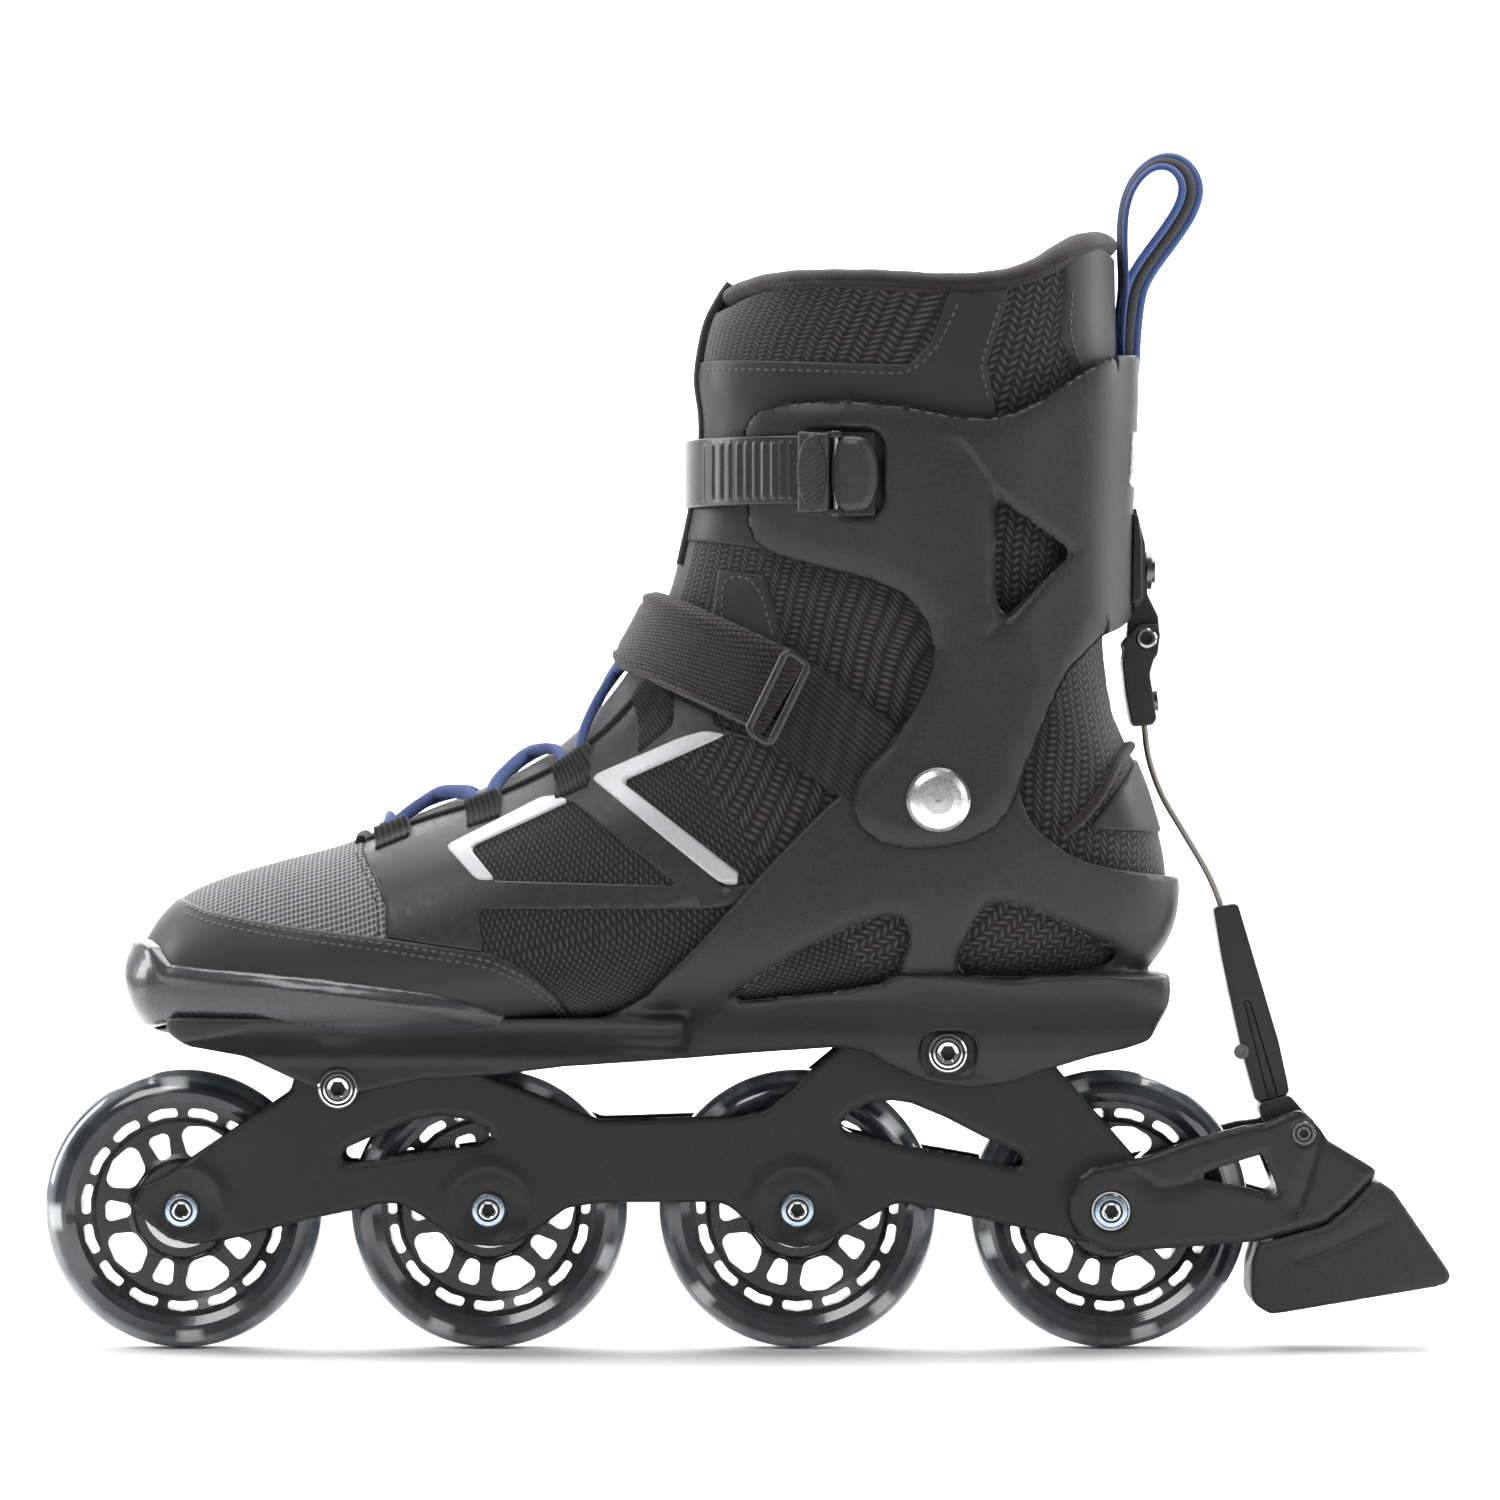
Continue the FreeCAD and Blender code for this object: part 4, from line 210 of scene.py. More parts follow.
def split(tris, sa, f, keep_negative):
    """Cuts triangles along f = 0. sa: per-vertex data rows whose columns are interpolated; f: values. Returns new arrays."""
    sa, f = list(map(np.asarray, sa)), list(f)
    made = {}
    out = []

    def cut(i, j):
        key = (i, j) if i < j else (j, i)
        if key not in made:
            t = f[i] / (f[i] - f[j])
            sa.append(sa[i] + (sa[j] - sa[i]) * t)
            f.append(0.0)
            made[key] = len(sa) - 1
        return made[key]

    for tri in tris:
        v = [f[i] for i in tri]
        if min(v) >= 0:
            out.append(tri)
            continue
        if max(v) <= 0:
            if keep_negative:
                out.append(tri)
            continue
        for want in ((1, -1) if keep_negative else (1,)):
            ring = []
            for k in range(3):
                i, j = tri[k], tri[(k + 1) % 3]
                fi, fj = f[i] * want, f[j] * want
                if fi >= 0:
                    ring.append(i)
                if (fi > 0 and fj < 0) or (fi < 0 and fj > 0):
                    ring.append(cut(i, j))
            ring = [q for n, q in enumerate(ring) if q != ring[n - 1]]
            for k in range(1, len(ring) - 1):
                out.append((ring[0], ring[k], ring[k + 1]))
    return out, np.array(sa)


def grid(s0, s1, a0, a1, ns, na, closed):
    s = np.linspace(s0, s1, ns)
    a = np.linspace(a0, a1, na + 1)
    S, A = np.meshgrid(s, a, indexing="ij")
    pts = np.stack([S.ravel(), A.ravel()], 1)
    m = na + 1
    tris = []
    for i in range(ns - 1):
        for j in range(na):
            p, q, r, t = i * m + j, i * m + j + 1, (i + 1) * m + j + 1, (i + 1) * m + j
            if (i + j) % 2:
                tris += [(p, q, r), (p, r, t)]
            else:
                tris += [(p, q, t), (q, r, t)]
    return tris, pts


ARC_S = np.concatenate([[0], np.cumsum(np.hypot(*np.diff((STATIONS[:, 0:2] + STATIONS[:, 2:4]) / 2, axis=0).T))])


def uv_of(s, a, P):
    """Cloth coordinates in cm: u along the foot and up the leg, v round the section from its front."""
    u = np.interp(s, np.arange(NS), ARC_S)
    _, _, _, _, w, p, ef, eb, yc = station(s, np.zeros(s.shape))
    fx, fz, bx, bz = station(s, np.zeros(s.shape))[:4]
    girth = 0.5 * (2 * w + np.hypot(bx - fx, bz - fz)) * 1.15
    return np.stack([u * 0.1, a / math.pi * girth * 0.1], 1)


def skin(name, mat, field, d0, d1, r=0.8, s=(0, NS - 1), a=(-math.pi, math.pi), ns=150, na=150, profile=None, bottom=True, seam=True, shape=None):
    """A piece lying on the form. field(x, y, z, s, a) is positive inside, in mm; the piece rises from d0 at its edge
    to d1 over a rounded border r wide. profile(f, x, y, z, s, a) may add height."""
    tris, pts = grid(s[0], s[1], a[0], a[1], ns, na, False)
    for level, keep in ((0.0, False), (r * 0.08, True), (r * 0.35, True), (r, True)):
        P = place(pts[:, 0], pts[:, 1], np.full(len(pts), d1))
        f = field(P[:, 0], P[:, 1], P[:, 2], pts[:, 0], pts[:, 1])
        f = np.where(np.abs(f - level) < 1e-4, level + 1e-4, f)
        tris, pts = split(tris, pts, f - level, keep)
    used = sorted(set(i for t in tris for i in t))
    remap = {i: n for n, i in enumerate(used)}
    pts = pts[used]
    tris = [tuple(remap[i] for i in t) for t in tris]
    P = place(pts[:, 0], pts[:, 1], np.full(len(pts), d1))
    f = field(P[:, 0], P[:, 1], P[:, 2], pts[:, 0], pts[:, 1])
    k = np.clip(f / r, 0, 1)
    h = d0 + (d1 - d0) * np.sqrt(np.clip(1 - (1 - k) ** 2, 0, 1))
    if profile is not None:
        h = h + profile(f, P[:, 0], P[:, 1], P[:, 2], pts[:, 0], pts[:, 1]) * np.minimum(1, k * 1.5)
    top = place(pts[:, 0], pts[:, 1], h)
    uv = uv_of(pts[:, 0], pts[:, 1], top)
    n = len(pts)
    verts, faces, uvs = top, list(tris), uv
    if bottom:
        verts = np.concatenate([top, place(pts[:, 0], pts[:, 1], np.full(n, d0 - 0.25))])
        faces = faces + [(c + n, b + n, a_ + n) for a_, b, c in tris]
        uvs = np.concatenate([uv, uv])
        edges = {}
        for t in tris:
            for q in range(3):
                e = (t[q], t[(q + 1) % 3])
                edges[e] = edges.get(e, 0) + 1
        at_tip = pts[:, 0] < 1e-6
        at_seam = np.abs(np.abs(pts[:, 1]) - math.pi) < 1e-6
        tip_edges = []
        for (i, j) in edges:
            if (j, i) in edges or (at_seam[i] and at_seam[j] and not (at_tip[i] and at_tip[j])):
                continue
            if at_tip[i] and at_tip[j]:
                tip_edges.append((i, j))
            else:
                faces.append((j, i, i + n, j + n))
        if tip_edges:
            ring = np.array([i for i, _ in tip_edges])
            mt, mb = verts[ring].mean(0), verts[ring + n].mean(0)
            extra = np.array([mt - [0.7, 0, 0], mb - [0.1, 0, 0]])
            verts = np.concatenate([verts, extra])
            uvs = np.concatenate([uvs, uvs[:2]])
            for i, j in tip_edges:
                faces.append((j, i, 2 * n))
                faces.append((i + n, j + n, 2 * n + 1))
    # weld the seam where a = -pi meets a = +pi
    ob = new_mesh(name, verts, faces, uvs, mat)
    bm = bmesh.new()
    bm.from_mesh(ob.data)
    bmesh.ops.remove_doubles(bm, verts=bm.verts, dist=2e-6)
    bmesh.ops.recalc_face_normals(bm, faces=bm.faces)
    bm.to_mesh(ob.data)
    bm.free()
    return ob


def slab(name, mat, poly, y0, y1, r=0.8, crown=0.0, step=0.5, relief=None, sign=-1):
    """A flat-backed piece on the X-Z plane at |y| from y0 (back) to y1 (face), rounded by r, face crowned, relief(x, z, f) added."""
    poly = np.asarray(poly, float)
    lo, hi = poly.min(0) - step, poly.max(0) + step
    nx, nz = int((hi[0] - lo[0]) / step) + 1, int((hi[1] - lo[1]) / step) + 1
    X, Z = np.meshgrid(np.linspace(lo[0], hi[0], nx), np.linspace(lo[1], hi[1], nz), indexing="ij")
    pts = np.stack([X.ravel(), Z.ravel()], 1)
    tris = []
    for i in range(nx - 1):
        for j in range(nz - 1):
            p, q, w, t = i * nz + j, i * nz + j + 1, (i + 1) * nz + j + 1, (i + 1) * nz + j
            tris += [(p, q, w), (p, w, t)] if (i + j) % 2 else [(p, q, t), (q, w, t)]
    for level, keep in ((0.0, False), (r * 0.08, True), (r * 0.35, True), (r, True)):
        f = sd(poly, pts[:, 0], pts[:, 1])
        f = np.where(np.abs(f - level) < 1e-4, level + 1e-4, f)
        tris, pts = split(tris, pts, f - level, keep)
    used = sorted(set(i for t in tris for i in t))
    remap = {i: k for k, i in enumerate(used)}
    pts = pts[used]
    tris = [tuple(remap[i] for i in t) for t in tris]
    f = sd(poly, pts[:, 0], pts[:, 1])
    k = np.clip(f / r, 0, 1)
    c = (lo + hi) / 2
    half = (hi - lo) / 2
    dome = crown * (1 - ((pts[:, 0] - c[0]) / half[0]) ** 2)
    h = y1 - r + (r + dome * np.clip(f / 2.5, 0, 1)) * np.sqrt(np.clip(1 - (1 - k) ** 2, 0, 1))
    if relief is not None:
        h = h + relief(pts[:, 0], pts[:, 1], f) * k
    top = np.stack([pts[:, 0], sign * h, pts[:, 1]], 1)
    back = np.stack([pts[:, 0], np.full(len(pts), sign * y0), pts[:, 1]], 1)
    n = len(pts)
    faces = list(tris) + [(q + n, p + n, w + n)[::1] for p, q, w in tris]
    edges = {}
    for t in tris:
        for q in range(3):
            edges[(t[q], t[(q + 1) % 3])] = 1
    for (i, j) in edges:
        if (j, i) not in edges:
            faces.append((j, i, i + n, j + n))
    ob = new_mesh(name, np.concatenate([top, back]), faces, np.concatenate([pts, pts]) * 0.1, mat)
    fix(ob)
    return ob


def tube(name, path, radius, mat, closed=False, segs=10, flat=1.0, up=None, caps=True, step=None):
    """A round or oval cord along a path in mm. flat squeezes it across the path's normal; up gives that normal."""
    path = np.asarray(path, float)
    if step:
        path = resample(path, step, closed)
    n = len(path)
    nxt = np.roll(path, -1, 0) if closed else np.concatenate([path[1:], path[-1:] * 2 - path[-2:-1]])
    prv = np.roll(path, 1, 0) if closed else np.concatenate([path[:1] * 2 - path[1:2], path[:-1]])
    tan = nxt - prv
    tan /= np.linalg.norm(tan, axis=1)[:, None] + 1e-12
    if up is None:
        ref = np.cross(tan[0], [0, 0, 1.0])
        if np.linalg.norm(ref) < 0.1:
            ref = np.cross(tan[0], [0, 1.0, 0])
        ref /= np.linalg.norm(ref)
        ups = []
        for t in tan:
            ref = ref - t * np.dot(ref, t)
            ref /= np.linalg.norm(ref) + 1e-12
            ups.append(ref)
        ups = np.array(ups)
    else:
        ups = np.broadcast_to(np.asarray(up, float), tan.shape).copy()
        ups -= tan * (ups * tan).sum(1)[:, None]
        ups /= np.linalg.norm(ups, axis=1)[:, None] + 1e-12
    bi = np.cross(tan, ups)
    rad = np.broadcast_to(np.asarray(radius, float), (n,))
    ang = np.linspace(0, 2 * math.pi, segs, endpoint=False)
    verts = (path[:, None] + bi[:, None] * (np.cos(ang)[None, :, None] * rad[:, None, None])
             + ups[:, None] * (np.sin(ang)[None, :, None] * rad[:, None, None] * flat)).reshape(-1, 3)
    length = np.concatenate([[0], np.cumsum(np.linalg.norm(np.diff(path, axis=0), axis=1))])
    uv = np.stack([np.repeat(length, segs) * 0.1, np.tile(ang / (2 * math.pi), n) * 0.1 * 2 * math.pi * np.mean(rad)], 1)
    faces = []
    for i in range(n if closed else n - 1):
        for j in range(segs):
            k = (i + 1) % n
            faces.append((i * segs + j, i * segs + (j + 1) % segs, k * segs + (j + 1) % segs, k * segs + j))
    if not closed and caps:
        faces.append(tuple(range(segs))[::-1])
        faces.append(tuple((n - 1) * segs + j for j in range(segs)))
    ob = new_mesh(name, verts, faces, uv, mat)
    fix(ob)
    return ob


def fix(ob):
    bm = bmesh.new()
    bm.from_mesh(ob.data)
    bmesh.ops.recalc_face_normals(bm, faces=bm.faces)
    bm.to_mesh(ob.data)
    bm.free()


def resample(path, step, closed=False):
    path = np.asarray(path, float)
    if closed:
        path = np.concatenate([path, path[:1]])
    seg = np.linalg.norm(np.diff(path, axis=0), axis=1)
    keep = np.concatenate([[True], seg > 1e-6])
    path = path[keep]
    acc = np.concatenate([[0], np.cumsum(np.linalg.norm(np.diff(path, axis=0), axis=1))])
    n = max(2, int(round(acc[-1] / step)) + 1)
    t = np.linspace(0, acc[-1], n)
    out = np.stack([np.interp(t, acc, path[:, k]) for k in range(path.shape[1])], 1)
    return out[:-1] if closed else out


def curve(points, step=1.0, closed=False, rounds=2):
    """Corner-cut smooth version of a coarse polyline."""
    p = np.asarray(points, float)
    for _ in range(rounds):
        if closed:
            q = np.roll(p, -1, 0)
            p = np.stack([p * .75 + q * .25, p * .25 + q * .75], 1).reshape(-1, p.shape[1])
        else:
            m = np.stack([p[:-1] * .75 + p[1:] * .25, p[:-1] * .25 + p[1:] * .75], 1).reshape(-1, p.shape[1])
            p = np.concatenate([p[:1], m[1:-1], p[-1:]])
    return resample(p, step, closed)


def join(name, obs):
    """Joins several meshes into one object named name."""
    obs = [o for o in obs if o is not None]
    bpy.ops.object.select_all(action="DESELECT")
    for o in obs:
        o.select_set(True)
    bpy.context.view_layer.objects.active = obs[0]
    if len(obs) > 1:
        bpy.ops.object.join()
    ob = bpy.context.view_layer.objects.active
    ob.name = name
    ob.data.name = name
    return ob


def stitches(name, lines, mat, pitch=2.6, length=1.7, r=0.33):
    """Dashed thread: short rounded stitches along 3-D lines in mm, lying on the surface."""
    verts, faces = [], []
    prof = [(-.5, .15), (-.42, .72), (-.2, 1.0), (.2, 1.0), (.42, .72), (.5, .15)]
    for line in lines:
        p = resample(line, pitch)
        if len(p) < 3:
            continue
        for i in range(len(p) - 1):
            c, t = (p[i] + p[i + 1]) / 2, p[i + 1] - p[i]
            t = t / (np.linalg.norm(t) + 1e-9)
            a = np.cross(t, [0, 1.0, 0.01])
            a /= np.linalg.norm(a) + 1e-9
            b = np.cross(t, a)
            base = len(verts)
            for (l, k) in prof:
                for q in range(6):
                    an = q / 6 * 2 * math.pi
                    verts.append(c + t * l * length + (a * math.cos(an) + b * math.sin(an)) * r * k)
            for m in range(len(prof) - 1):
                for q in range(6):
                    faces.append((base + m * 6 + q, base + m * 6 + (q + 1) % 6, base + (m + 1) * 6 + (q + 1) % 6, base + (m + 1) * 6 + q))
            faces.append(tuple(base + q for q in range(6))[::-1])
            faces.append(tuple(base + (len(prof) - 1) * 6 + q for q in range(6)))
    if not verts:
        return None
    ob = new_mesh(name, verts, faces, None, mat)
    fix(ob)
    return ob


def side_line(points, d, sign, step=1.0, depth=40, rounds=2, px=True):
    p = curve(side(points, depth) if px else points, step, rounds=rounds)
    return on_side(p[:, 0], p[:, 1], d, sign)


# ------------------------------------------------------------------ materials
class Net:
    """Small helper around a material's node tree."""

    def __init__(self, name, color, rough=0.5, metallic=0.0, coat=0.0, sheen=0.0, specular=0.5, transmission=0.0, alpha=1.0, ior=1.5):
        self.m = bpy.data.materials.new(name)
        self.m.use_nodes = True
        self.t = self.m.node_tree
        self.b = self.t.nodes["Principled BSDF"]
        self.set("Base Color", (*color, 1))
        self.set("Roughness", rough)
        self.set("Metallic", metallic)
        self.set("Coat Weight", coat)
        self.set("Sheen Weight", sheen)
        self.set("Specular IOR Level", specular)
        self.set("Transmission Weight", transmission)
        self.set("Alpha", alpha)
        self.set("IOR", ior)
        self.color = color
        self.normal = None

    def set(self, k, v):
        self.b.inputs[k].default_value = v

    def n(self, kind, **props):
        node = self.t.nodes.new("ShaderNode" + kind)
        for k, v in props.items():
            if k in node.inputs.keys() if not hasattr(node, k) else False:
                node.inputs[k].default_value = v
            else:
                setattr(node, k, v)
        return node

    def link(self, a, b):
        self.t.links.new(a, b)

    def coords(self, kind="Object", scale=(1, 1, 1), rot=(0, 0, 0)):
        tc = self.n("TexCoord")
        mp = self.n("Mapping")
        mp.inputs["Scale"].default_value = scale
        mp.inputs["Rotation"].default_value = rot
        self.link(tc.outputs[kind], mp.inputs["Vector"])
        return mp.outputs["Vector"]

    def noise(self, vec, scale, detail=3.0, rough=0.55):
        t = self.n("TexNoise")
        t.inputs["Scale"].default_value = scale
        t.inputs["Detail"].default_value = detail
        t.inputs["Roughness"].default_value = rough
        self.link(vec, t.inputs["Vector"])
        return t.outputs["Fac"]

    def math(self, op, a, b=None, clamp=False):
        t = self.n("Math")
        t.operation = op
        t.use_clamp = clamp
        for i, v in enumerate((a, b)):
            if v is None:
                continue
            if isinstance(v, (int, float)):
                t.inputs[i].default_value = v
            else:
                self.link(v, t.inputs[i])
        return t.outputs[0]

    def ramp(self, fac, lo, hi, a=0.0, b=1.0):
        t = self.n("MapRange")
        t.inputs["From Min"].default_value = lo
        t.inputs["From Max"].default_value = hi
        t.inputs["To Min"].default_value = a
        t.inputs["To Max"].default_value = b
        self.link(fac, t.inputs["Value"])
        return t.outputs["Result"]

    def mix(self, fac, ca, cb):
        t = self.n("Mix", data_type="RGBA")
        self.link(fac, t.inputs[0])
        for sock, c in ((t.inputs[6], ca), (t.inputs[7], cb)):
            if isinstance(c, tuple):
                sock.default_value = (*c, 1)
            else:
                self.link(c, sock)
        return t.outputs[2]

    def base(self, out):
        self.link(out, self.b.inputs["Base Color"])

    def rough(self, out):
        self.link(out, self.b.inputs["Roughness"])

    def bump(self, height, strength, distance):
        t = self.n("Bump")
        t.inputs["Strength"].default_value = strength
        t.inputs["Distance"].default_value = distance
        self.link(height, t.inputs["Height"])
        if self.normal is not None:
            self.link(self.normal, t.inputs["Normal"])
        self.normal = t.outputs["Normal"]
        self.link(self.normal, self.b.inputs["Normal"])

    def speckle(self, amount=0.25, scale=900, rough=(0.4, 0.6), bump=0.15, dist=0.0001, wear=0.12):
        """Grain and faint blotches on a moulded or painted surface."""
        v = self.coords("Object")
        g = self.noise(v, scale, 2.0)
        b = self.noise(v, 28, 4.0)
        c = self.color
        hi = tuple(min(1, x * (1 + amount) + 0.004) for x in c)
        lo = tuple(x * (1 - amount) for x in c)
        mixf = self.math("ADD", self.math("MULTIPLY", self.ramp(g, 0.3, 0.7), 0.6), self.math("MULTIPLY", b, 0.4), clamp=True)
        self.base(self.mix(mixf, lo, hi))
        self.rough(self.ramp(self.math("ADD", self.math("MULTIPLY", g, 0.5), self.math("MULTIPLY", b, 0.5)), 0.3, 0.7, rough[0], rough[1]))
        self.bump(g, bump, dist)
        return self


def knit(name, color, pitch_u=0.10, pitch_v=0.16, light=1.9, kind="herring", rough=0.85, sheen=0.25, depth=0.00035):
    """Woven or knitted cloth on the cloth coordinates (cm), with painted light and shade on its weave."""
    m = Net(name, color, rough, sheen=sheen, specular=0.25)
    tc = m.n("TexCoord")
    sep = m.n("SeparateXYZ")
    m.link(tc.outputs["UV"], sep.inputs[0])
    u, v = sep.outputs[0], sep.outputs[1]
    fine = m.noise(m.coords("Object"), 1400, 2.0)
    broad = m.noise(m.coords("Object"), 30, 3.0)
    if kind == "herring":
        col = m.math("DIVIDE", v, pitch_v)
        saw = m.math("PINGPONG", col, 0.5)                       # folds each rib into two slanting halves
        slant = m.math("ADD", m.math("DIVIDE", u, pitch_u), m.math("MULTIPLY", saw, 2.0))
        rib = m.math("PINGPONG", slant, 0.5)
        edge = m.math("PINGPONG", m.math("MULTIPLY", col, 2.0), 0.5)
        h = m.math("MULTIPLY", m.math("MULTIPLY", rib, 2.0), m.math("POWER", m.math("MULTIPLY", edge, 2.0), 0.45))
    elif kind == "weave":
        x = m.math("SINE", m.math("MULTIPLY", m.math("ADD", m.math("DIVIDE", u, pitch_u), m.math("DIVIDE", v, pitch_v)), math.pi))
        y = m.math("SINE", m.math("MULTIPLY", m.math("SUBTRACT", m.math("DIVIDE", u, pitch_u), m.math("DIVIDE", v, pitch_v)), math.pi))
        h = m.math("ADD", m.math("MULTIPLY", m.math("ABSOLUTE", m.math("MULTIPLY", x, y)), 1.0), 0.0)
    elif kind == "rib":
        x = m.math("PINGPONG", m.math("DIVIDE", u, pitch_u), 0.5)
        y = m.math("PINGPONG", m.math("DIVIDE", v, pitch_v), 0.5)
        h = m.math("ADD", m.math("MULTIPLY", x, 1.5), m.math("MULTIPLY", y, 0.5))
    else:                                                         # open mesh
        x = m.math("SINE", m.math("MULTIPLY", m.math("DIVIDE", u, pitch_u), math.pi))
        y = m.math("SINE", m.math("MULTIPLY", m.math("DIVIDE", v, pitch_v), math.pi))
        h = m.math("POWER", m.math("SUBTRACT", 1.0, m.math("ABSOLUTE", m.math("MULTIPLY", x, y))), 1.6)
    h2 = m.math("ADD", m.math("MULTIPLY", h, 0.85), m.math("MULTIPLY", fine, 0.15))
    # painted shade and painted highlight: the weave's height becomes colour, darkened in its hollows and brightened on
    # its raised threads, plus a faint random tone
    painted_shade_color = tuple(c * 0.34 for c in color)
    lit = tuple(min(1, c * light) for c in color)
    painted_light_mix = m.math("ADD", m.math("POWER", m.ramp(h2, 0.05, 0.92), 1.7), m.math("MULTIPLY", m.math("SUBTRACT", broad, 0.5), 0.12), clamp=True)
    m.base(m.mix(painted_light_mix, painted_shade_color, lit))
    m.bump(h2, 0.8, depth)
    return m.m


MAT = {}
MAT["shell"] = Net("shell_plastic", (0.0150, 0.0150, 0.0152), 0.5, specular=0.40).speckle(0.45, 1500, (0.36, 0.52), 0.25, 0.00012).m
MAT["inner"] = Net("gloss_wall_plastic", (0.012, 0.012, 0.013), 0.15, specular=0.6).speckle(0.2, 700, (0.10, 0.2), 0.05, 0.00005).m
MAT["bumper"] = Net("bumper_rubber", (0.030, 0.032, 0.036), 0.3, specular=0.5, coat=0.25).speckle(0.15, 500, (0.24, 0.34), 0.06, 0.00006).m
MAT["frame"] = Net("frame_paint", (0.0115, 0.0108, 0.0100), 0.45, specular=0.38).speckle(0.3, 1700, (0.38, 0.50), 0.18, 0.00008).m
MAT["brake"] = Net("brake_plastic", (0.0125, 0.0125, 0.0130), 0.42, specular=0.42).speckle(0.3, 1500, (0.32, 0.46), 0.18, 0.0001).m
MAT["pad"] = Net("pad_rubber", (0.017, 0.017, 0.0175), 0.6, specular=0.4).speckle(0.35, 1100, (0.45, 0.6), 0.3, 0.00015).m
MAT["hub"] = Net("hub_nylon", (0.012, 0.012, 0.013), 0.22, specular=0.55).speckle(0.25, 500, (0.2, 0.34), 0.08, 0.00006).m
MAT["buckle"] = Net("buckle_plastic", (0.028, 0.028, 0.029), 0.45, specular=0.45).speckle(0.3, 1300, (0.34, 0.5), 0.2, 0.0001).m
MAT["strap_plastic"] = Net("strap_plastic", (0.020, 0.020, 0.022), 0.35, specular=0.5).speckle(0.3, 900, (0.28, 0.4), 0.15, 0.0001).m
MAT["wire"] = Net("black_wire", (0.014, 0.014, 0.014), 0.3, specular=0.6).speckle(0.3, 900, (0.25, 0.4), 0.1, 0.00005).m


def metal(name, color, rough, aniso=0.0, scale=500, bump=0.08):
    m = Net(name, color, rough, metallic=1.0)
    v = m.coords("Object", (1, 1, 1))
    g = m.noise(v, scale, 3.0)
    m.rough(m.ramp(g, 0.3, 0.7, rough * 0.8, rough * 1.25))
    m.base(m.mix(g, tuple(c * 0.86 for c in color), color))
    m.bump(g, bump, 0.00006)
    return m.m


MAT["chrome"] = metal("chrome", (0.82, 0.82, 0.84), 0.10)
MAT["rivet"] = metal("satin_aluminium", (0.80, 0.80, 0.81), 0.30, scale=1500, bump=0.2)
MAT["zinc"] = metal("blued_zinc", (0.50, 0.62, 0.74), 0.24, scale=900, bump=0.12)
MAT["steel"] = metal("bearing_steel", (0.60, 0.60, 0.60), 0.22)
MAT["rod"] = metal("rod_steel", (0.34, 0.31, 0.27), 0.34)
MAT["silver_badge"] = metal("badge_silver", (0.86, 0.87, 0.88), 0.28)
MAT["darkmetal"] = metal("black_screw", (0.16, 0.16, 0.165), 0.28)


# painted shadow: a near-black material lines the hex sockets and the ring grooves of the turned heads, where shade
# falls
MAT["socket"] = Net("socket_shadow", (0.02, 0.021, 0.023), 0.5, metallic=0.6).speckle(0.3, 900, (0.4, 0.6), 0.1, 0.00005).m


def leather():
    m = Net("smooth_leather", (0.020, 0.020, 0.021), 0.5, specular=0.4)
    v = m.coords("Object")
    vor = m.n("TexVoronoi")
    vor.inputs["Scale"].default_value = 950
    m.link(v, vor.inputs["Vector"])
    b = m.noise(v, 40, 4)
    m.base(m.mix(b, (0.0135, 0.0135, 0.014), (0.021, 0.021, 0.0215)))
    m.rough(m.ramp(b, 0.3, 0.7, 0.42, 0.58))
    m.bump(vor.outputs["Distance"], 0.25, 0.0001)
    return m.m


def film():
    m = Net("tpu_film", (0.013, 0.013, 0.0145), 0.42, specular=0.42)
    tc = m.n("TexCoord")
    sep = m.n("SeparateXYZ")
    m.link(tc.outputs["UV"], sep.inputs[0])
    wave = m.math("SINE", m.math("MULTIPLY", m.math("ADD", sep.outputs[0], m.math("MULTIPLY", sep.outputs[1], 0.6)), 60.0))
    g = m.noise(m.coords("Object"), 500, 2)
    m.base(m.mix(g, (0.015, 0.0155, 0.0165), (0.023, 0.0237, 0.025)))
    m.rough(m.ramp(g, 0.3, 0.7, 0.36, 0.5))
    m.bump(m.math("ADD", m.math("MULTIPLY", wave, 0.5), g), 0.12, 0.0001)
    return m.m


MAT["leather"] = leather()
MAT["film"] = film()
MAT["knit"] = knit("boot_knit", (0.0150, 0.0135, 0.0142), 0.20, 0.42, 5.5, "herring")
MAT["knit_low"] = knit("boot_knit_low", (0.0105, 0.0100, 0.0112), 0.17, 0.24, 4.5, "weave")
MAT["mesh"] = knit("toe_mesh", (0.16, 0.16, 0.166), 0.135, 0.135, 1.9, "mesh", depth=0.0005, sheen=0.1)
MAT["tongue"] = knit("tongue_knit", (0.10, 0.10, 0.105), 0.10, 0.14, 1.9, "weave")
MAT["collar"] = knit("collar_knit", (0.0125, 0.0095, 0.0090), 0.07, 0.12, 2.4, "rib", sheen=0.25)
MAT["lining"] = knit("lining_knit", (0.016, 0.015, 0.016), 0.10, 0.14, 1.9, "weave")
MAT["strap"] = knit("ballistic_weave", (0.021, 0.0165, 0.0165), 0.17, 0.17, 2.6, "weave", depth=0.0005)
MAT["strap_edge"] = knit("strap_binding", (0.020, 0.0155, 0.0155), 0.09, 0.09, 2.2, "rib")
MAT["webbing"] = knit("black_webbing", (0.016, 0.016, 0.0165), 0.17, 0.30, 2.4, "rib", sheen=0.1)
MAT["lace"] = knit("blue_lace", (0.035, 0.095, 0.32), 0.09, 0.12, 1.9, "weave", depth=0.0004)
MAT["loop_blue"] = knit("loop_blue", (0.040, 0.095, 0.31), 0.11, 0.10, 2.0, "weave", depth=0.0004)
MAT["loop_black"] = knit("loop_black", (0.014, 0.014, 0.015), 0.11, 0.10, 2.0, "weave", depth=0.0004)
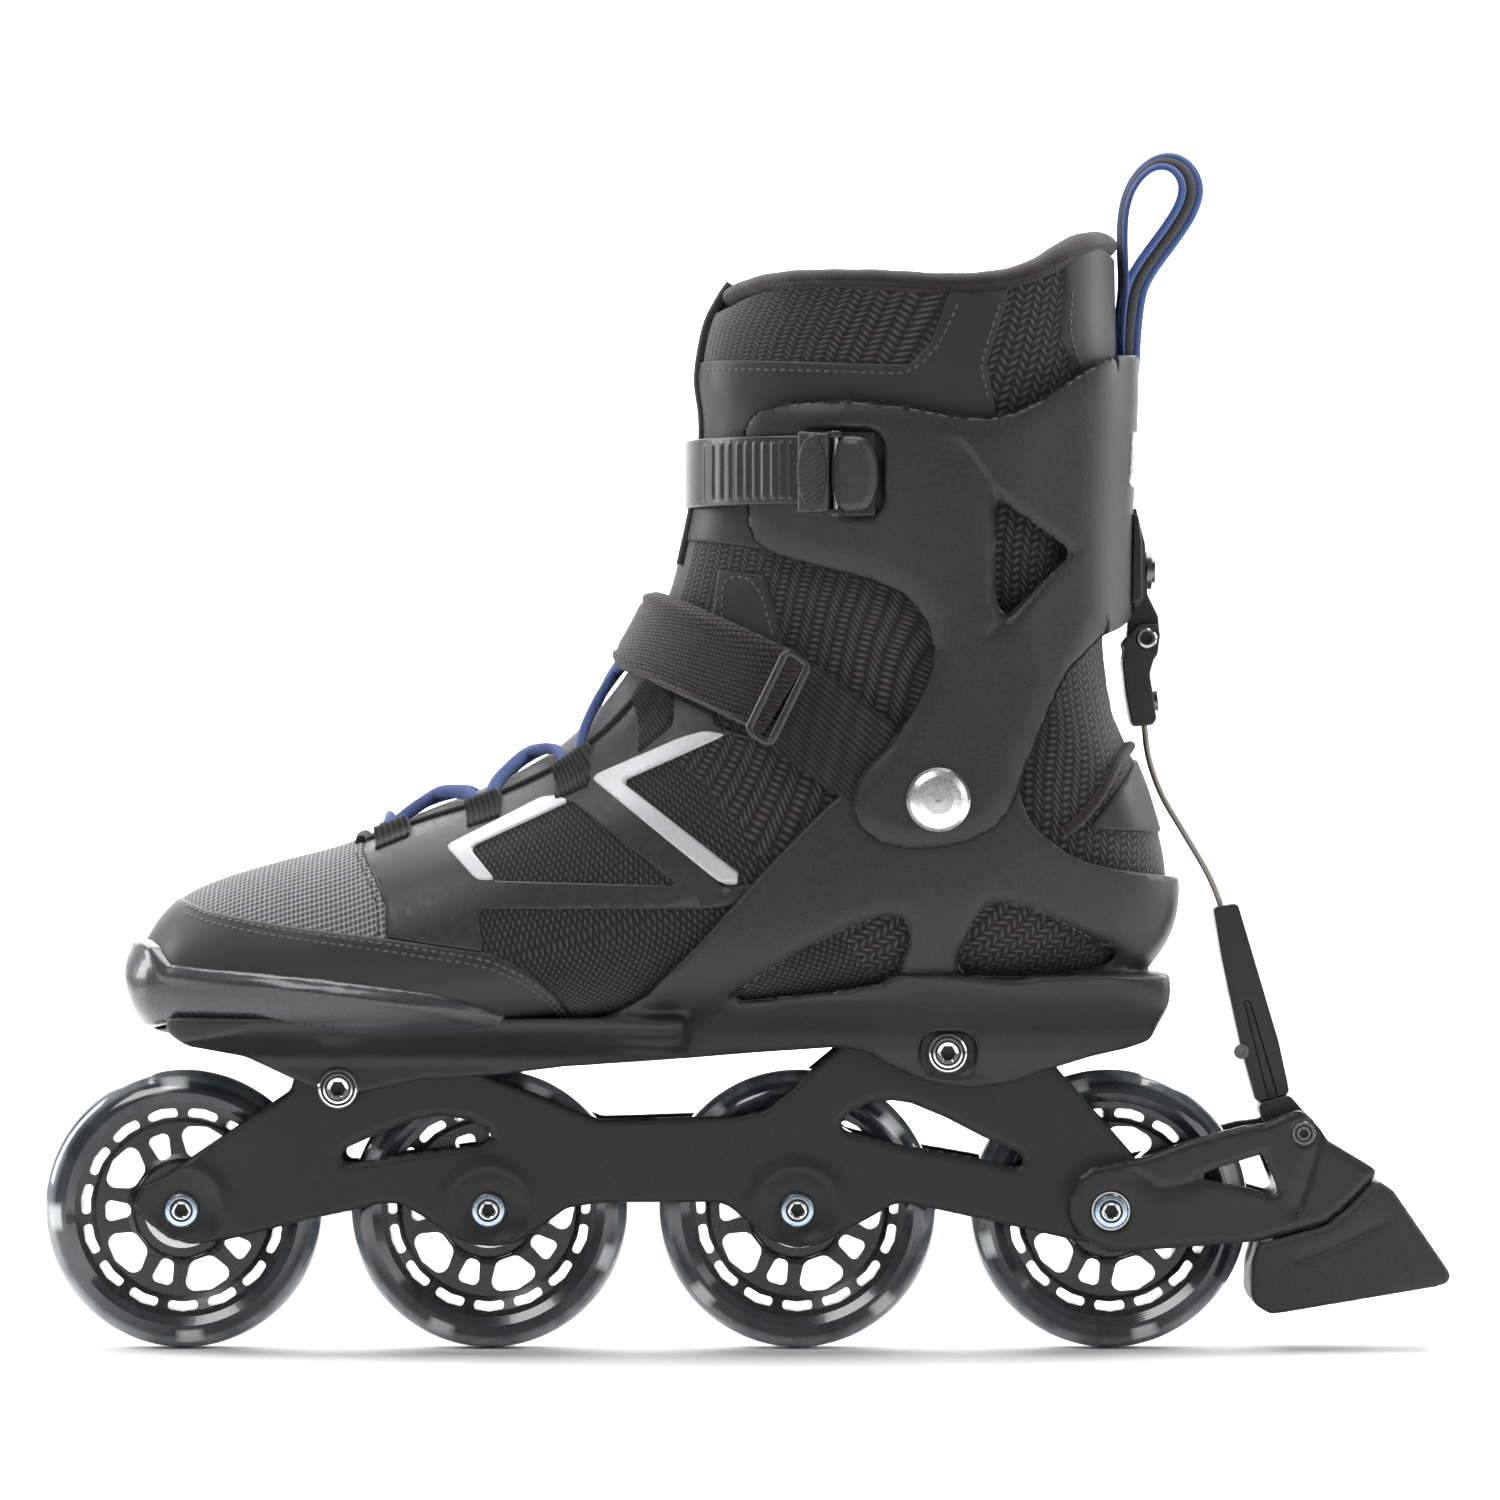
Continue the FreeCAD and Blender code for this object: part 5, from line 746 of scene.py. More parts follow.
MAT["thread"] = Net("thread", (0.050, 0.050, 0.052), 0.55, sheen=0.2).speckle(0.3, 3000, (0.5, 0.65), 0.2, 0.00005).m
MAT["thread_dark"] = Net("thread_dark", (0.014, 0.014, 0.015), 0.5).speckle(0.3, 3000, (0.45, 0.6), 0.2, 0.00005).m
MAT["chevron"] = Net("silver_film", (0.46, 0.46, 0.47), 0.42, metallic=0.25).speckle(0.08, 900, (0.36, 0.48), 0.08, 0.00004).m
MAT["insole"] = knit("insole_foam", (0.020, 0.020, 0.022), 0.12, 0.12, 1.8, "weave")


def tyre():
    """Cast urethane: smoky and cloudy."""
    m = Net("smoky_urethane", (0.055, 0.068, 0.082), 0.14, specular=0.55, transmission=0.0, coat=0.5)
    v = m.coords("Object")
    b = m.noise(v, 60, 3)
    tc = m.n("TexCoord")
    m.base(m.mix(m.ramp(b, 0.35, 0.65), (0.038, 0.048, 0.058), (0.075, 0.090, 0.105)))
    m.rough(m.ramp(b, 0.3, 0.7, 0.10, 0.2))
    return m.m


MAT["tyre"] = tyre()


def clear():
    m = Net("clear_urethane", (0.72, 0.76, 0.79), 0.10, transmission=0.75, ior=1.35, specular=0.5)
    v = m.coords("Object")
    b = m.noise(v, 90, 3)
    m.base(m.mix(b, (0.66, 0.70, 0.73), (0.86, 0.88, 0.90)))
    m.rough(m.ramp(b, 0.3, 0.7, 0.06, 0.16))
    return m.m


MAT["clear"] = clear()


def paint(node, mat):
    o = NODES[node]
    o.data.materials.clear()
    o.data.materials.append(mat)


# ------------------------------------------------------------------ moulded parts: rounded copies of the plain solids
def moulded(node, mat, voxel, body, rounds=4, shape=None, name=None, reduce=None, melt=None, melt_rounds=60):
    src = NODES[node]
    ob = src.copy()
    ob.data = src.data.copy()
    ob.parent = None
    ob.animation_data_clear()
    ob.name = ob.data.name = name or node + "_moulded"
    for k in list(ob.keys()):
        if k.startswith("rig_"):
            del ob[k]
    bpy.context.scene.collection.objects.link(ob)
    bm = bmesh.new()
    bm.from_mesh(ob.data)
    bmesh.ops.remove_doubles(bm, verts=bm.verts, dist=1e-5)
    bm.to_mesh(ob.data)
    bm.free()
    md = ob.modifiers.new("r", "REMESH")
    md.mode = "VOXEL"
    md.voxel_size = voxel * MM
    sm = ob.modifiers.new("s", "SMOOTH")
    sm.factor = 0.5
    sm.iterations = rounds
    bpy.context.view_layer.objects.active = ob
    bpy.context.view_layer.update()
    dg = bpy.context.evaluated_depsgraph_get()
    me = bpy.data.meshes.new_from_object(ob.evaluated_get(dg))
    ob.modifiers.clear()
    ob.data = me
    me.name = ob.name
    if melt is not None:
        co = np.zeros(len(me.vertices) * 3, np.float32)
        me.vertices.foreach_get("co", co)
        wts = melt(co.reshape(-1, 3).astype(float) / MM)
        vg = ob.vertex_groups.new(name="melt")
        for i in np.nonzero(wts > 0.01)[0]:
            vg.add([int(i)], float(wts[i]), "REPLACE")
        mm = ob.modifiers.new("m", "SMOOTH")
        mm.vertex_group = "melt"
        mm.factor = 0.5
        mm.iterations = melt_rounds
        bpy.context.view_layer.update()
        me = bpy.data.meshes.new_from_object(ob.evaluated_get(bpy.context.evaluated_depsgraph_get()))
        ob.modifiers.clear()
        ob.vertex_groups.clear()
        ob.data = me
        me.name = ob.name
    if shape is not None:
        co = np.zeros(len(me.vertices) * 3, np.float32)
        me.vertices.foreach_get("co", co)
        no = np.zeros(len(me.vertices) * 3, np.float32)
        me.vertices.foreach_get("normal", no)
        P = co.reshape(-1, 3).astype(float) / MM
        N = no.reshape(-1, 3).astype(float)
        P = shape(P, N)
        me.vertices.foreach_set("co", (P * MM).astype(np.float32).ravel())
        me.update()
    me.polygons.foreach_set("use_smooth", [True] * len(me.polygons))
    me.materials.clear()
    for q in (mat if isinstance(mat, (list, tuple)) else [mat]):
        me.materials.append(q)
    if reduce:
        dm = ob.modifiers.new("d", "DECIMATE")
        dm.ratio = reduce
        dg = bpy.context.evaluated_depsgraph_get()
        me2 = bpy.data.meshes.new_from_object(ob.evaluated_get(dg))
        ob.modifiers.clear()
        ob.data = me2
        me2.name = ob.name
    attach(ob, body)
    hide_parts(node)
    return ob


def face_material(ob, test, index):
    """Gives faces whose centre (mm) and normal pass the test another material slot."""
    me = ob.data
    n = len(me.polygons)
    c = np.zeros(n * 3, np.float32)
    me.polygons.foreach_get("center", c)
    nn = np.zeros(n * 3, np.float32)
    me.polygons.foreach_get("normal", nn)
    ok = test(c.reshape(-1, 3).astype(float) / MM, nn.reshape(-1, 3).astype(float))
    idx = np.zeros(n, np.int32)
    me.polygons.foreach_get("material_index", idx)
    idx[ok] = index
    me.polygons.foreach_set("material_index", idx)


# ------------------------------------------------------------------ side outlines: (depth in mm, points)
OUT = {
    "SHELL_WINDOW_1": (42, [(730, 1000), (751, 984), (796, 955), (843.5, 931), (879, 918), (898, 917), (909, 926), (909, 942), (898, 971), (882, 984), (828, 993), (735, 1002)]),
    "SHELL_WINDOW_2": (42, [(961.5, 971), (962, 955), (974, 923), (987, 906), (1006, 904), (1035, 910.5), (1067, 926), (1099, 945.5), (1121, 957), (1111, 963), (1067, 972.6), (1019, 977), (968, 975)]),
    "CUFF_WINDOW": (47, [(997.7, 498), (1074, 551), (1005.7, 618), (996, 600), (996, 510)]),
    "CUFF_OUTLINE": (45, [(743, 426), (756, 410), (787.5, 402.5), (845.5, 400), (904, 406), (957, 416), (988, 418), (1015, 412), (1046, 397), (1082, 372), (1113, 354), (1146, 349), (1152, 357), (1150, 400), (1148, 488), (1148, 609), (1124, 627), (1104.5, 635.5), (1091, 649), (1069, 671), (1051, 707), (1037.5, 743), (1022, 778), (1020, 792), (1012, 808), (997, 828), (971, 842), (939, 849), (907, 850), (879, 843.5), (859, 828), (852, 809), (854, 787), (868, 765), (890, 743), (912, 711), (928, 680), (933, 649), (926, 622), (904, 595), (868, 580), (823, 569), (774, 555), (754, 542), (747, 524)]),
    "ARM_OUTLINE": (20, [(1091, 1167), (1145, 1157), (1191, 1140), (1244, 1126), (1264, 1124), (1283, 1115), (1298, 1111), (1306, 1113), (1321, 1130), (1328, 1141), (1376.5, 1170), (1374.5, 1178), (1350, 1203), (1326.7, 1223), (1256, 1242), (1168, 1249), (1110, 1253), (1084, 1240), (1070, 1220), (1069, 1196), (1078, 1177)]),
    "ARM_WINDOW": (20, [(1195, 1178), (1218, 1168), (1241, 1161), (1264, 1154), (1279, 1191), (1273, 1195), (1246, 1187.5)]),
    "PAD_OUTLINE": (21, [(1376.5, 1179), (1394, 1191), (1451, 1274), (1449, 1283), (1436, 1287), (1283, 1313), (1271, 1314.6), (1256, 1306), (1251, 1295), (1252, 1264), (1258, 1245), (1327, 1226), (1350, 1206)]),
    "FRAME_OUTLINE": (16, [(131, 1207), (150, 1225), (168, 1239), (191, 1245), (228, 1240), (268, 1230), (312, 1219), (356, 1210), (383, 1203), (402, 1205), (421, 1216), (448, 1235), (471, 1245), (494, 1247), (517, 1243), (543, 1226), (566, 1208.6), (600, 1203), (717, 1202.5), (729.6, 1207), (748.7, 1223), (771, 1240.7), (796.6, 1248.7), (822, 1244), (841, 1232.8), (866.7, 1220), (892, 1205.7), (902, 1203), (940, 1210.5), (997, 1223), (1068, 1239), (1096, 1245), (1118, 1246), (1136, 1236), (1146, 1218), (1146, 1199), (1139, 1180), (1137, 1158.8), (1097, 1113), (1057, 1068), (1040, 1028), (868, 1028), (838.6, 1047), (812.5, 1068.6), (787, 1092.5), (765, 1110), (736, 1116), (691, 1117), (600, 1120), (597, 1118.6), (536, 1093.8), (490, 1076.5), (460, 1056), (310, 1056), (293, 1076.5), (291, 1090), (225, 1134), (160.7, 1178), (141.6, 1187.5), (131, 1203)]),
    "FRAME_WINDOW_FRONT": (16, [(340.6, 1155), (346, 1148.5), (382.7, 1132), (413, 1120.5), (440, 1116), (470.7, 1120.5), (488, 1130), (491.8, 1137.8), (484, 1144.7), (440, 1150), (401.8, 1155), (356, 1162.6), (344.4, 1162.6)]),
    "FRAME_WINDOW_REAR": (16, [(839.6, 1122.8), (850.8, 1111.6), (869.9, 1103.6), (892, 1100.8), (911, 1103.6), (946.4, 1118), (984.5, 1138), (1018.6, 1153), (1024.4, 1160.7), (1018.6, 1168.4), (976.5, 1157.7), (900, 1144.7), (876.3, 1138.7), (844.4, 1130.7)]),
    "COLLAR_TOP": (0, [(700, 300), (719, 297), (745, 285), (770, 277), (850, 276), (900, 279), (950, 282), (1000, 279), (1040, 263), (1075, 238), (1100, 233), (1112, 243), (1130, 246)]),
    "LOOP_PATH": (0, [(1119, 345), (1120, 318), (1124, 285), (1122, 250), (1122.5, 215), (1129, 190), (1142, 171), (1158, 161), (1175, 162), (1188, 174), (1192, 192), (1185, 212), (1172, 232), (1157, 252), (1142, 273), (1134, 291), (1130, 318), (1128, 345)]),
}


def outline(k):
    d, p = OUT[k]
    return side(p, d)


def flex(ob):
    """Cloth that crosses the ankle: its transform is baked into its mesh."""
    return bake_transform(ob)


# ------------------------------------------------------------------ moulded plastics
def window_dip(P, N, poly, width, depth, ymin):
    """Presses the outer face in along a window's border, as a soft chamfer."""
    f = sd(poly, P[:, 0], P[:, 2])
    outer = (np.abs(P[:, 1]) > ymin) & (np.sign(P[:, 1]) * N[:, 1] > 0.25)
    k = np.clip(1 - np.abs(np.minimum(f, 0)) / width, 0, 1)
    k = np.where(f > 0, 1.0, k)
    P[:, 1] -= np.where(outer, np.sign(P[:, 1]) * depth * k ** 2, 0)


def crease(P, N, line, width, depth, ymin, taper=True, lift=0.0):
    """A sculpted step along a line: sharp on the line's left, fading out on its right."""
    line = np.asarray(line, float)
    best = np.full(len(P), 1e9)
    sideof = np.zeros(len(P))
    along = np.zeros(len(P))
    seg = np.linalg.norm(np.diff(line, axis=0), axis=1)
    acc = np.concatenate([[0], np.cumsum(seg)])
    for i in range(len(line) - 1):
        a, b = line[i], line[i + 1]
        d = b - a
        t = np.clip(((P[:, 0] - a[0]) * d[0] + (P[:, 2] - a[1]) * d[1]) / (d @ d), 0, 1)
        q = np.hypot(P[:, 0] - a[0] - t * d[0], P[:, 2] - a[1] - t * d[1])
        s = d[0] * (P[:, 2] - a[1]) - d[1] * (P[:, 0] - a[0])
        m = q < best
        best = np.where(m, q, best)
        sideof = np.where(m, s, sideof)
        along = np.where(m, acc[i] + t * seg[i], along)
    u = along / acc[-1]
    fade = np.clip(np.minimum(u, 1.0) * 4, 0, 1) if taper else 1.0
    outer = (np.abs(P[:, 1]) > ymin) & (np.sign(P[:, 1]) * N[:, 1] > 0.2)
    prof = np.where(sideof < 0, np.clip(1 - best / width, 0, 1) ** 2, np.clip(1 - best / 1.3, 0, 1))
    P[:, 1] -= np.where(outer, np.sign(P[:, 1]) * depth * prof * fade, 0)


W1, W2, WC = outline("SHELL_WINDOW_1"), outline("SHELL_WINDOW_2"), outline("CUFF_WINDOW")


def edge_round(P, N, poly, width, depth, ymin, gain=0.2):
    """Rolls the outer face down towards its outline."""
    f = sd(poly, P[:, 0], P[:, 2])
    outer = (np.abs(P[:, 1]) > ymin) & (np.sign(P[:, 1]) * N[:, 1] > gain)
    k = np.clip(1 - np.maximum(f, 0) / width, 0, 1)
    P[:, 1] -= np.where(outer, np.sign(P[:, 1]) * depth * k ** 2, 0)


def shell_melt(P):
    heel = smooth(P[:, 0], 62, 92) * smooth(P[:, 2], 88, 95) * (1 - smooth(P[:, 2], 112, 122))
    step = smooth(P[:, 0], -14, 0) * (1 - smooth(P[:, 0], 24, 42)) * smooth(P[:, 2], 84, 88) * (1 - smooth(P[:, 2], 100, 106))
    return np.maximum(heel, step) * (np.abs(P[:, 1]) > 21.5)


CUFFO, ARMO, PADO = outline("CUFF_OUTLINE"), outline("ARM_OUTLINE"), outline("PAD_OUTLINE")


def arm_shape(P, N):
    edge_round(P, N, ARMO, 2.6, 0.9, 12)
    crease(P, N, side([(1322, 1134), (1312, 1170), (1300, 1207)], 20), 7, 0.7, 12, taper=False)
    crease(P, N, side([(1128, 1166), (1160, 1187), (1196, 1181)], 20), 6, 0.5, 12)
    window_dip(P, N, outline("ARM_WINDOW"), 2.2, 0.6, 12)
    return P


def pad_shape(P, N):
    edge_round(P, N, PADO, 2.0, 0.8, 17)
    crease(P, N, side([(1393, 1219), (1352, 1240), (1300, 1262)], 21), 6, 0.8, 17)
    return P


AX = [(-133.3, 40.0), (-45.2, 40.0), (43.5, 40.0), (133.3, 40.0)]
FRO = outline("FRAME_OUTLINE")


def plate_shape(P, N):
    sgn = np.sign(P[:, 1])
    outer = sgn * N[:, 1] > 0.25
    edge_round(P, N, FRO, 1.6, 0.5, 12)
    for wn in ("FRAME_WINDOW_FRONT", "FRAME_WINDOW_REAR"):
        window_dip(P, N, outline(wn), 2.4, 0.8, 12)
    for ax, az in AX:
        r = np.hypot(P[:, 0] - ax, P[:, 2] - az)
        P[:, 1] += np.where(outer, sgn * (0.75 * np.exp(-((r - 12.5) / 2.2) ** 2)), 0)
    return P


def shell_shape(P, N):
    window_dip(P, N, W1, 4.5, 1.5, 30)
    window_dip(P, N, W2, 4.5, 1.5, 30)
    return P


def cuff_shape(P, N):
    window_dip(P, N, WC, 4.0, 1.3, 30)
    edge_round(P, N, CUFFO, 7.0, 1.7, 30)
    crease(P, N, side([(950, 432), (975, 462), (1000, 500)], 47), 9, 1.1, 30)
    crease(P, N, side([(1030, 575), (1008, 612), (984, 640)][::-1], 47), 8, 0.9, 30)
    return P


shell = moulded("shell", [MAT["shell"], MAT["inner"]], 0.9, "chassis", 5, shell_shape, melt=shell_melt)
cuff = moulded("cuff", [MAT["shell"], MAT["inner"]], 0.85, "cuff", 5, cuff_shape)


def in_window(polys, reach):
    def test(C, Nn):
        ok = np.zeros(len(C), bool)
        for p in polys:
            f = sd(p, C[:, 0], C[:, 2])
            ok |= (np.abs(f) < reach) & (np.abs(Nn[:, 1]) < 0.55) & (np.abs(C[:, 1]) > 28)
        return ok
    return test


face_material(shell, in_window([W1, W2], 1.3), 1)
face_material(cuff, in_window([WC], 1.6), 1)

moulded("frame_plate_left", MAT["frame"], 0.7, "chassis", 3, plate_shape)
moulded("frame_plate_right", MAT["frame"], 0.7, "chassis", 3, plate_shape)
moulded("brake_arm", MAT["brake"], 0.6, "brake_arm", 3, arm_shape)
moulded("brake_pad", MAT["pad"], 0.8, "brake_arm", 3, pad_shape)
moulded("brake_sleeve", MAT["brake"], 0.4, "brake_link", 2)
moulded("brake_clevis", MAT["brake"], 0.4, "brake_link", 2)
moulded("brake_yoke", MAT["brake"], 0.35, "brake_link", 2)
moulded("brake_bracket", MAT["brake"], 0.4, "cuff", 2)
moulded("buckle_base", MAT["shell"], 0.4, "cuff", 2)
lv = slab("buckle_lever_face", MAT["buckle"], curve([(52.6, 239.6), (52.6, 260.6), (60.5, 261.2), (63.6, 259.8), (65.8, 255.5), (66.4, 250.2), (65.8, 245.0), (63.6, 240.4), (60.5, 239.2)], 0.8, closed=True, rounds=2),
          49.7, 54.6, 1.5, 0.9)
# the lever thins towards its hinge, so that it swings up without reaching the release tab
pin_lo, pin_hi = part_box("buckle_pin")
pin_x, pin_y = 500 * (pin_lo.x + pin_hi.x), 500 * (pin_lo.y + pin_hi.y)
for v in lv.data.vertices:
    reach = 1.6 + 0.268 * max(v.co.x * 1000 - pin_x, 0.0)
    v.co.y = -0.0497 + (v.co.y + 0.0497) * min(1.0, (reach - pin_y - 49.7) / 5.8)
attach(lv, "buckle_lever")
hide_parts("buckle_lever")
RB = dict(step=0.35)
rb1 = slab("buckle_release_block", MAT["buckle"], [(43.4, 238.8), (43.4, 262.2), (52.2, 261.6), (52.2, 239.4)], 51.2, 55.6, 0.9, 0.5)
lens = [(47.4 + 4.3 * math.cos(q / 40 * 2 * math.pi), 250.5 + 10.9 * math.sin(q / 40 * 2 * math.pi)) for q in range(40)]
rb2 = slab("buckle_release_grip", MAT["pad"], lens, 54.0, 56.5, 1.0, 0.9, 0.25,
           relief=lambda x, z, f: 0.32 * (np.abs(np.sin((z - 0.75 * x) * math.pi / 1.75)) - 0.5))
rb = join("buckle_release_tab", [rb1, rb2])
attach(rb, "buckle_release")
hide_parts("buckle_release")
moulded("ladder_strap", MAT["strap_plastic"], 0.42, "cuff", 2)

# ------------------------------------------------------------------ metal and wheel nodes keep their exact solids
for k in (1, 2, 3, 4):
    lo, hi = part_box("wheel_%d_tyre" % k)
    cx, cz = (lo.x + hi.x) / 2, (lo.z + hi.z) / 2
    m = Net("urethane_%d" % k, (0.05, 0.06, 0.07), 0.13, specular=0.55, coat=0.5)
    v = m.coords("Object")
    sep = m.n("SeparateXYZ")
    m.link(v, sep.inputs[0])
    dx, dz = m.math("SUBTRACT", sep.outputs[0], cx), m.math("SUBTRACT", sep.outputs[2], cz)
    rad = m.math("SQRT", m.math("ADD", m.math("MULTIPLY", dx, dx), m.math("MULTIPLY", dz, dz)))
    ang = m.math("ARCTAN2", dz, dx)
    rim = m.ramp(rad, 0.0362, 0.0378)
    rim.node.interpolation_type = "SMOOTHSTEP"
    cloud = m.noise(v, 70, 3)
    smoke = m.mix(m.ramp(cloud, 0.35, 0.65), (0.014, 0.018, 0.023), (0.036, 0.044, 0.052))
    edge = m.mix(m.ramp(cloud, 0.40, 0.60), (0.07, 0.088, 0.102), (0.20, 0.225, 0.245))
    # painted highlight: four narrow bright glints on a band near the tyre's outer edge, at a different angle on each
    # wheel
    painted_glint = m.ramp(m.math("ABSOLUTE", m.math("SINE", m.math("ADD", m.math("MULTIPLY", ang, 2.0), 0.55 + 0.9 * k))), 0.97, 0.995)
    band = m.math("MULTIPLY", m.ramp(rad, 0.0345, 0.0352), m.ramp(rad, 0.0385, 0.0380))
    body = m.mix(rim, smoke, edge)
    m.base(m.mix(m.math("MULTIPLY", painted_glint, band), body, (0.50, 0.53, 0.54)))
    m.rough(m.ramp(cloud, 0.3, 0.7, 0.08, 0.18))
    ring = m.math("SINE", m.math("MULTIPLY", rad, 9000.0))
    m.bump(ring, 0.05, 0.00005)
    paint("wheel_%d_tyre" % k, m.m)
    paint("wheel_%d_hub" % k, MAT["hub"])
    paint("wheel_%d_bearings" % k, MAT["steel"])
    paint("wheel_%d_balls" % k, MAT["chrome"])
for n, q in (("bearing_inner_rings", "steel"), ("bearing_spacers", "steel"), ("axle_sleeves", "steel"), ("axle_screws", "zinc"),
             ("mount_bolts", "chrome"), ("cuff_rivets", "rivet"), ("cuff_badge", "silver_badge"), ("bracket_screw", "darkmetal"),
             ("link_clamp_screws", "darkmetal"), ("brake_rod", "rod"), ("brake_upper_pin", "steel"), ("brake_lower_pin", "darkmetal"),
             ("brake_arm_bushes", "steel"), ("pad_screw", "steel"), ("buckle_pin", "steel"), ("strap_screw", "rivet"),
             ("strap_ring", "wire"), ("frame_bridge_front", "frame"), ("frame_bridge_rear", "frame")):
    paint(n, MAT[q])
for n, o in NODES.items():
    if not o.hide_render:
        o.data.polygons.foreach_set("use_smooth", [True] * len(o.data.polygons))
        o.data.set_sharp_from_angle(angle=math.radians(28))


def turned(name, at, sign, rings, socket, depth, mats, star=6):
    """A turned fastener head facing +-Y: rings are (radius, height, material index) from the rim inwards, then a
    six-sided socket of that radius and depth. at = (x, y of the seat, z)."""
    seg = 60
    ang = np.linspace(0, 2 * math.pi, seg, endpoint=False)
    hexr = lambda r: r * math.cos(math.pi / star) / np.cos((ang % (2 * math.pi / star)) - math.pi / star)
    levels = [(np.full(seg, r), h, m) for r, h, m in rings]
    last = rings[-1]
    levels += [(np.full(seg, socket * 1.12), last[1], last[2]), (hexr(socket * 1.03), last[1] - 0.15, last[2]), (hexr(socket), last[1] - 0.45, last[2]),
               (hexr(socket * 0.97), last[1] - depth, 1), (hexr(socket * 0.9), last[1] - depth - 0.05, 1)]
    verts, faces, midx = [], [], []
    for r, h, m in levels:
        for i in range(seg):
            verts.append((at[0] + math.cos(ang[i]) * r[i], at[1] + sign * h, at[2] + math.sin(ang[i]) * r[i]))
    for k in range(len(levels) - 1):
        for i in range(seg):
            faces.append((k * seg + i, k * seg + (i + 1) % seg, (k + 1) * seg + (i + 1) % seg, (k + 1) * seg + i))
            midx.append(levels[k + 1][2])
    n = len(levels) - 1
    faces.append(tuple(n * seg + i for i in range(seg)))
    midx.append(1)
    faces.append(tuple(range(seg))[::-1])
    midx.append(0)
    ob = new_mesh(name, verts, faces, None, mats[0])
    for q in mats[1:]:
        ob.data.materials.append(q)
    ob.data.polygons.foreach_set("material_index", midx)
    fix(ob)
    ob.data.set_sharp_from_angle(angle=math.radians(24))
    return ob


def seats(node, x, z, r):
    """Outermost y of a node on each side within r of an axis, in mm."""
    co = np.array([v.co for v in NODES[node].data.vertices]) / MM
    q = co[np.hypot(co[:, 0] - x, co[:, 2] - z) < r]
    return q[:, 1].min(), q[:, 1].max()


def heads(name, node, spots, reach, rings, socket, depth, mats, body, lower=0.0):
    obs = []
    for x, z in spots:
        lo, hi = seats(node, x, z, reach)
        top = max(h for _, h, _ in rings)
        for y, sg in ((lo, -1), (hi, 1)):
            obs.append(turned("h", (x, y - sg * (top - lower), z), sg, rings, socket, depth, mats))
    ob = join(name, obs)
    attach(ob, body)
    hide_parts(node)
    return ob


# material index 1 in these ring tables is the socket material, painted shadow in the grooves and sockets
AXR = [(5.0, -1.5, 0), (5.0, 1.45, 0), (4.55, 2.05, 0), (4.3, 2.15, 0), (3.35, 2.15, 0), (3.15, 1.85, 1), (2.85, 1.85, 1), (2.7, 2.2, 2), (2.45, 2.3, 2)]
heads("axle_bolt_heads", "axle_screws", AX, 5.3, AXR, 2.0, 2.0, [MAT["zinc"], MAT["socket"], MAT["chrome"]], "chassis")
MBR = [(5.8, -1.0, 0), (5.8, 1.3, 0), (5.4, 1.8, 0), (4.95, 1.95, 0), (4.7, 1.6, 1), (4.45, 1.55, 1), (4.25, 1.95, 0), (3.7, 2.0, 0), (3.5, 1.7, 1), (3.3, 1.7, 1), (3.1, 2.0, 0)]
heads("mount_bolt_heads", "mount_bolts", [(-88.1, 75.1), (86.6, 85.3)], 6.0, MBR, 2.25, 2.0, [MAT["chrome"], MAT["socket"]], "chassis")
LPR = [(3.6, -1.0, 0), (3.6, 0.9, 0), (3.3, 1.2, 0), (2.5, 1.2, 0), (2.35, 0.9, 1), (2.1, 0.9, 1), (2.0, 1.2, 0)]
heads("arm_pin_heads", "brake_lower_pin", [(188.6, 62.2)], 3.9, LPR, 1.3, 1.0, [MAT["darkmetal"], MAT["socket"]], "brake_arm")
UPR = [(2.9, -1.0, 0), (2.9, 0.5, 0), (2.65, 0.85, 0), (2.0, 0.9, 0), (1.85, 0.6, 1)]
heads("yoke_pin_heads", "brake_upper_pin", [(144.1, 204.2)], 3.2, UPR, 1.2, 0.9, [MAT["chrome"], MAT["socket"]], "brake_link")

# ------------------------------------------------------------------ boot
TOPX, TOPZ = side(OUT["COLLAR_TOP"][1], 0)[:, 0], side(OUT["COLLAR_TOP"][1], 0)[:, 1]
TOPLINE = curve(np.stack([TOPX, TOPZ], 1), 1.0, rounds=3)


def top_at(x):
    return np.interp(x, TOPLINE[:, 0], TOPLINE[:, 1]) - 5.0


def throat(x, y, a):
    """Positive outside the lacing slot."""
    half = np.interp(x, [-82, -50, 30], [12.5, 19.5, 20.5])
    f = np.maximum(np.maximum(np.abs(y) - half, -81.0 - x), x - 8.0)
    return np.where(np.cos(a) > 0, f, 60.0)


def region(poly, extra=None, depth=40):
    p = side(poly, depth)

    def f(x, y, z, s, a):
        v = sd(p, x, z)
        for e in ([] if extra is None else extra):
            v = np.minimum(v, e(x, y, z, s, a))
        return v
    return f


not_throat = lambda x, y, z, s, a: throat(x, y, a)
below_rim = lambda x, y, z, s, a: top_at(x) - z

boot = skin("boot_knit_shell", MAT["knit"], lambda x, y, z, s, a: np.minimum(throat(x, y, a), top_at(x) - z + 1.0), -5.6, 0.0, 1.6,
            ns=210, na=170)
for v in boot.data.vertices:
    x, y, z = v.co.x * 1000, v.co.y * 1000, v.co.z * 1000
    if x > 125 and 165 < z < 260:
        v.co.x = min(x, 129.4 + 0.8 * max(abs(y) - 10.0, 0.0) + 0.9 * max(182.0 - z, 0.0) + 0.5 * max(z - 236.0, 0.0)) / 1000
boot.data.materials.append(MAT["knit_low"])
boot.data.materials.append(MAT["lining"])


def low_part(C, Nn):
    return C[:, 0] < 45 - (C[:, 2] - 130) * 0.9


face_material(boot, low_part, 1)
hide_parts("boot_upper", "boot_shaft")

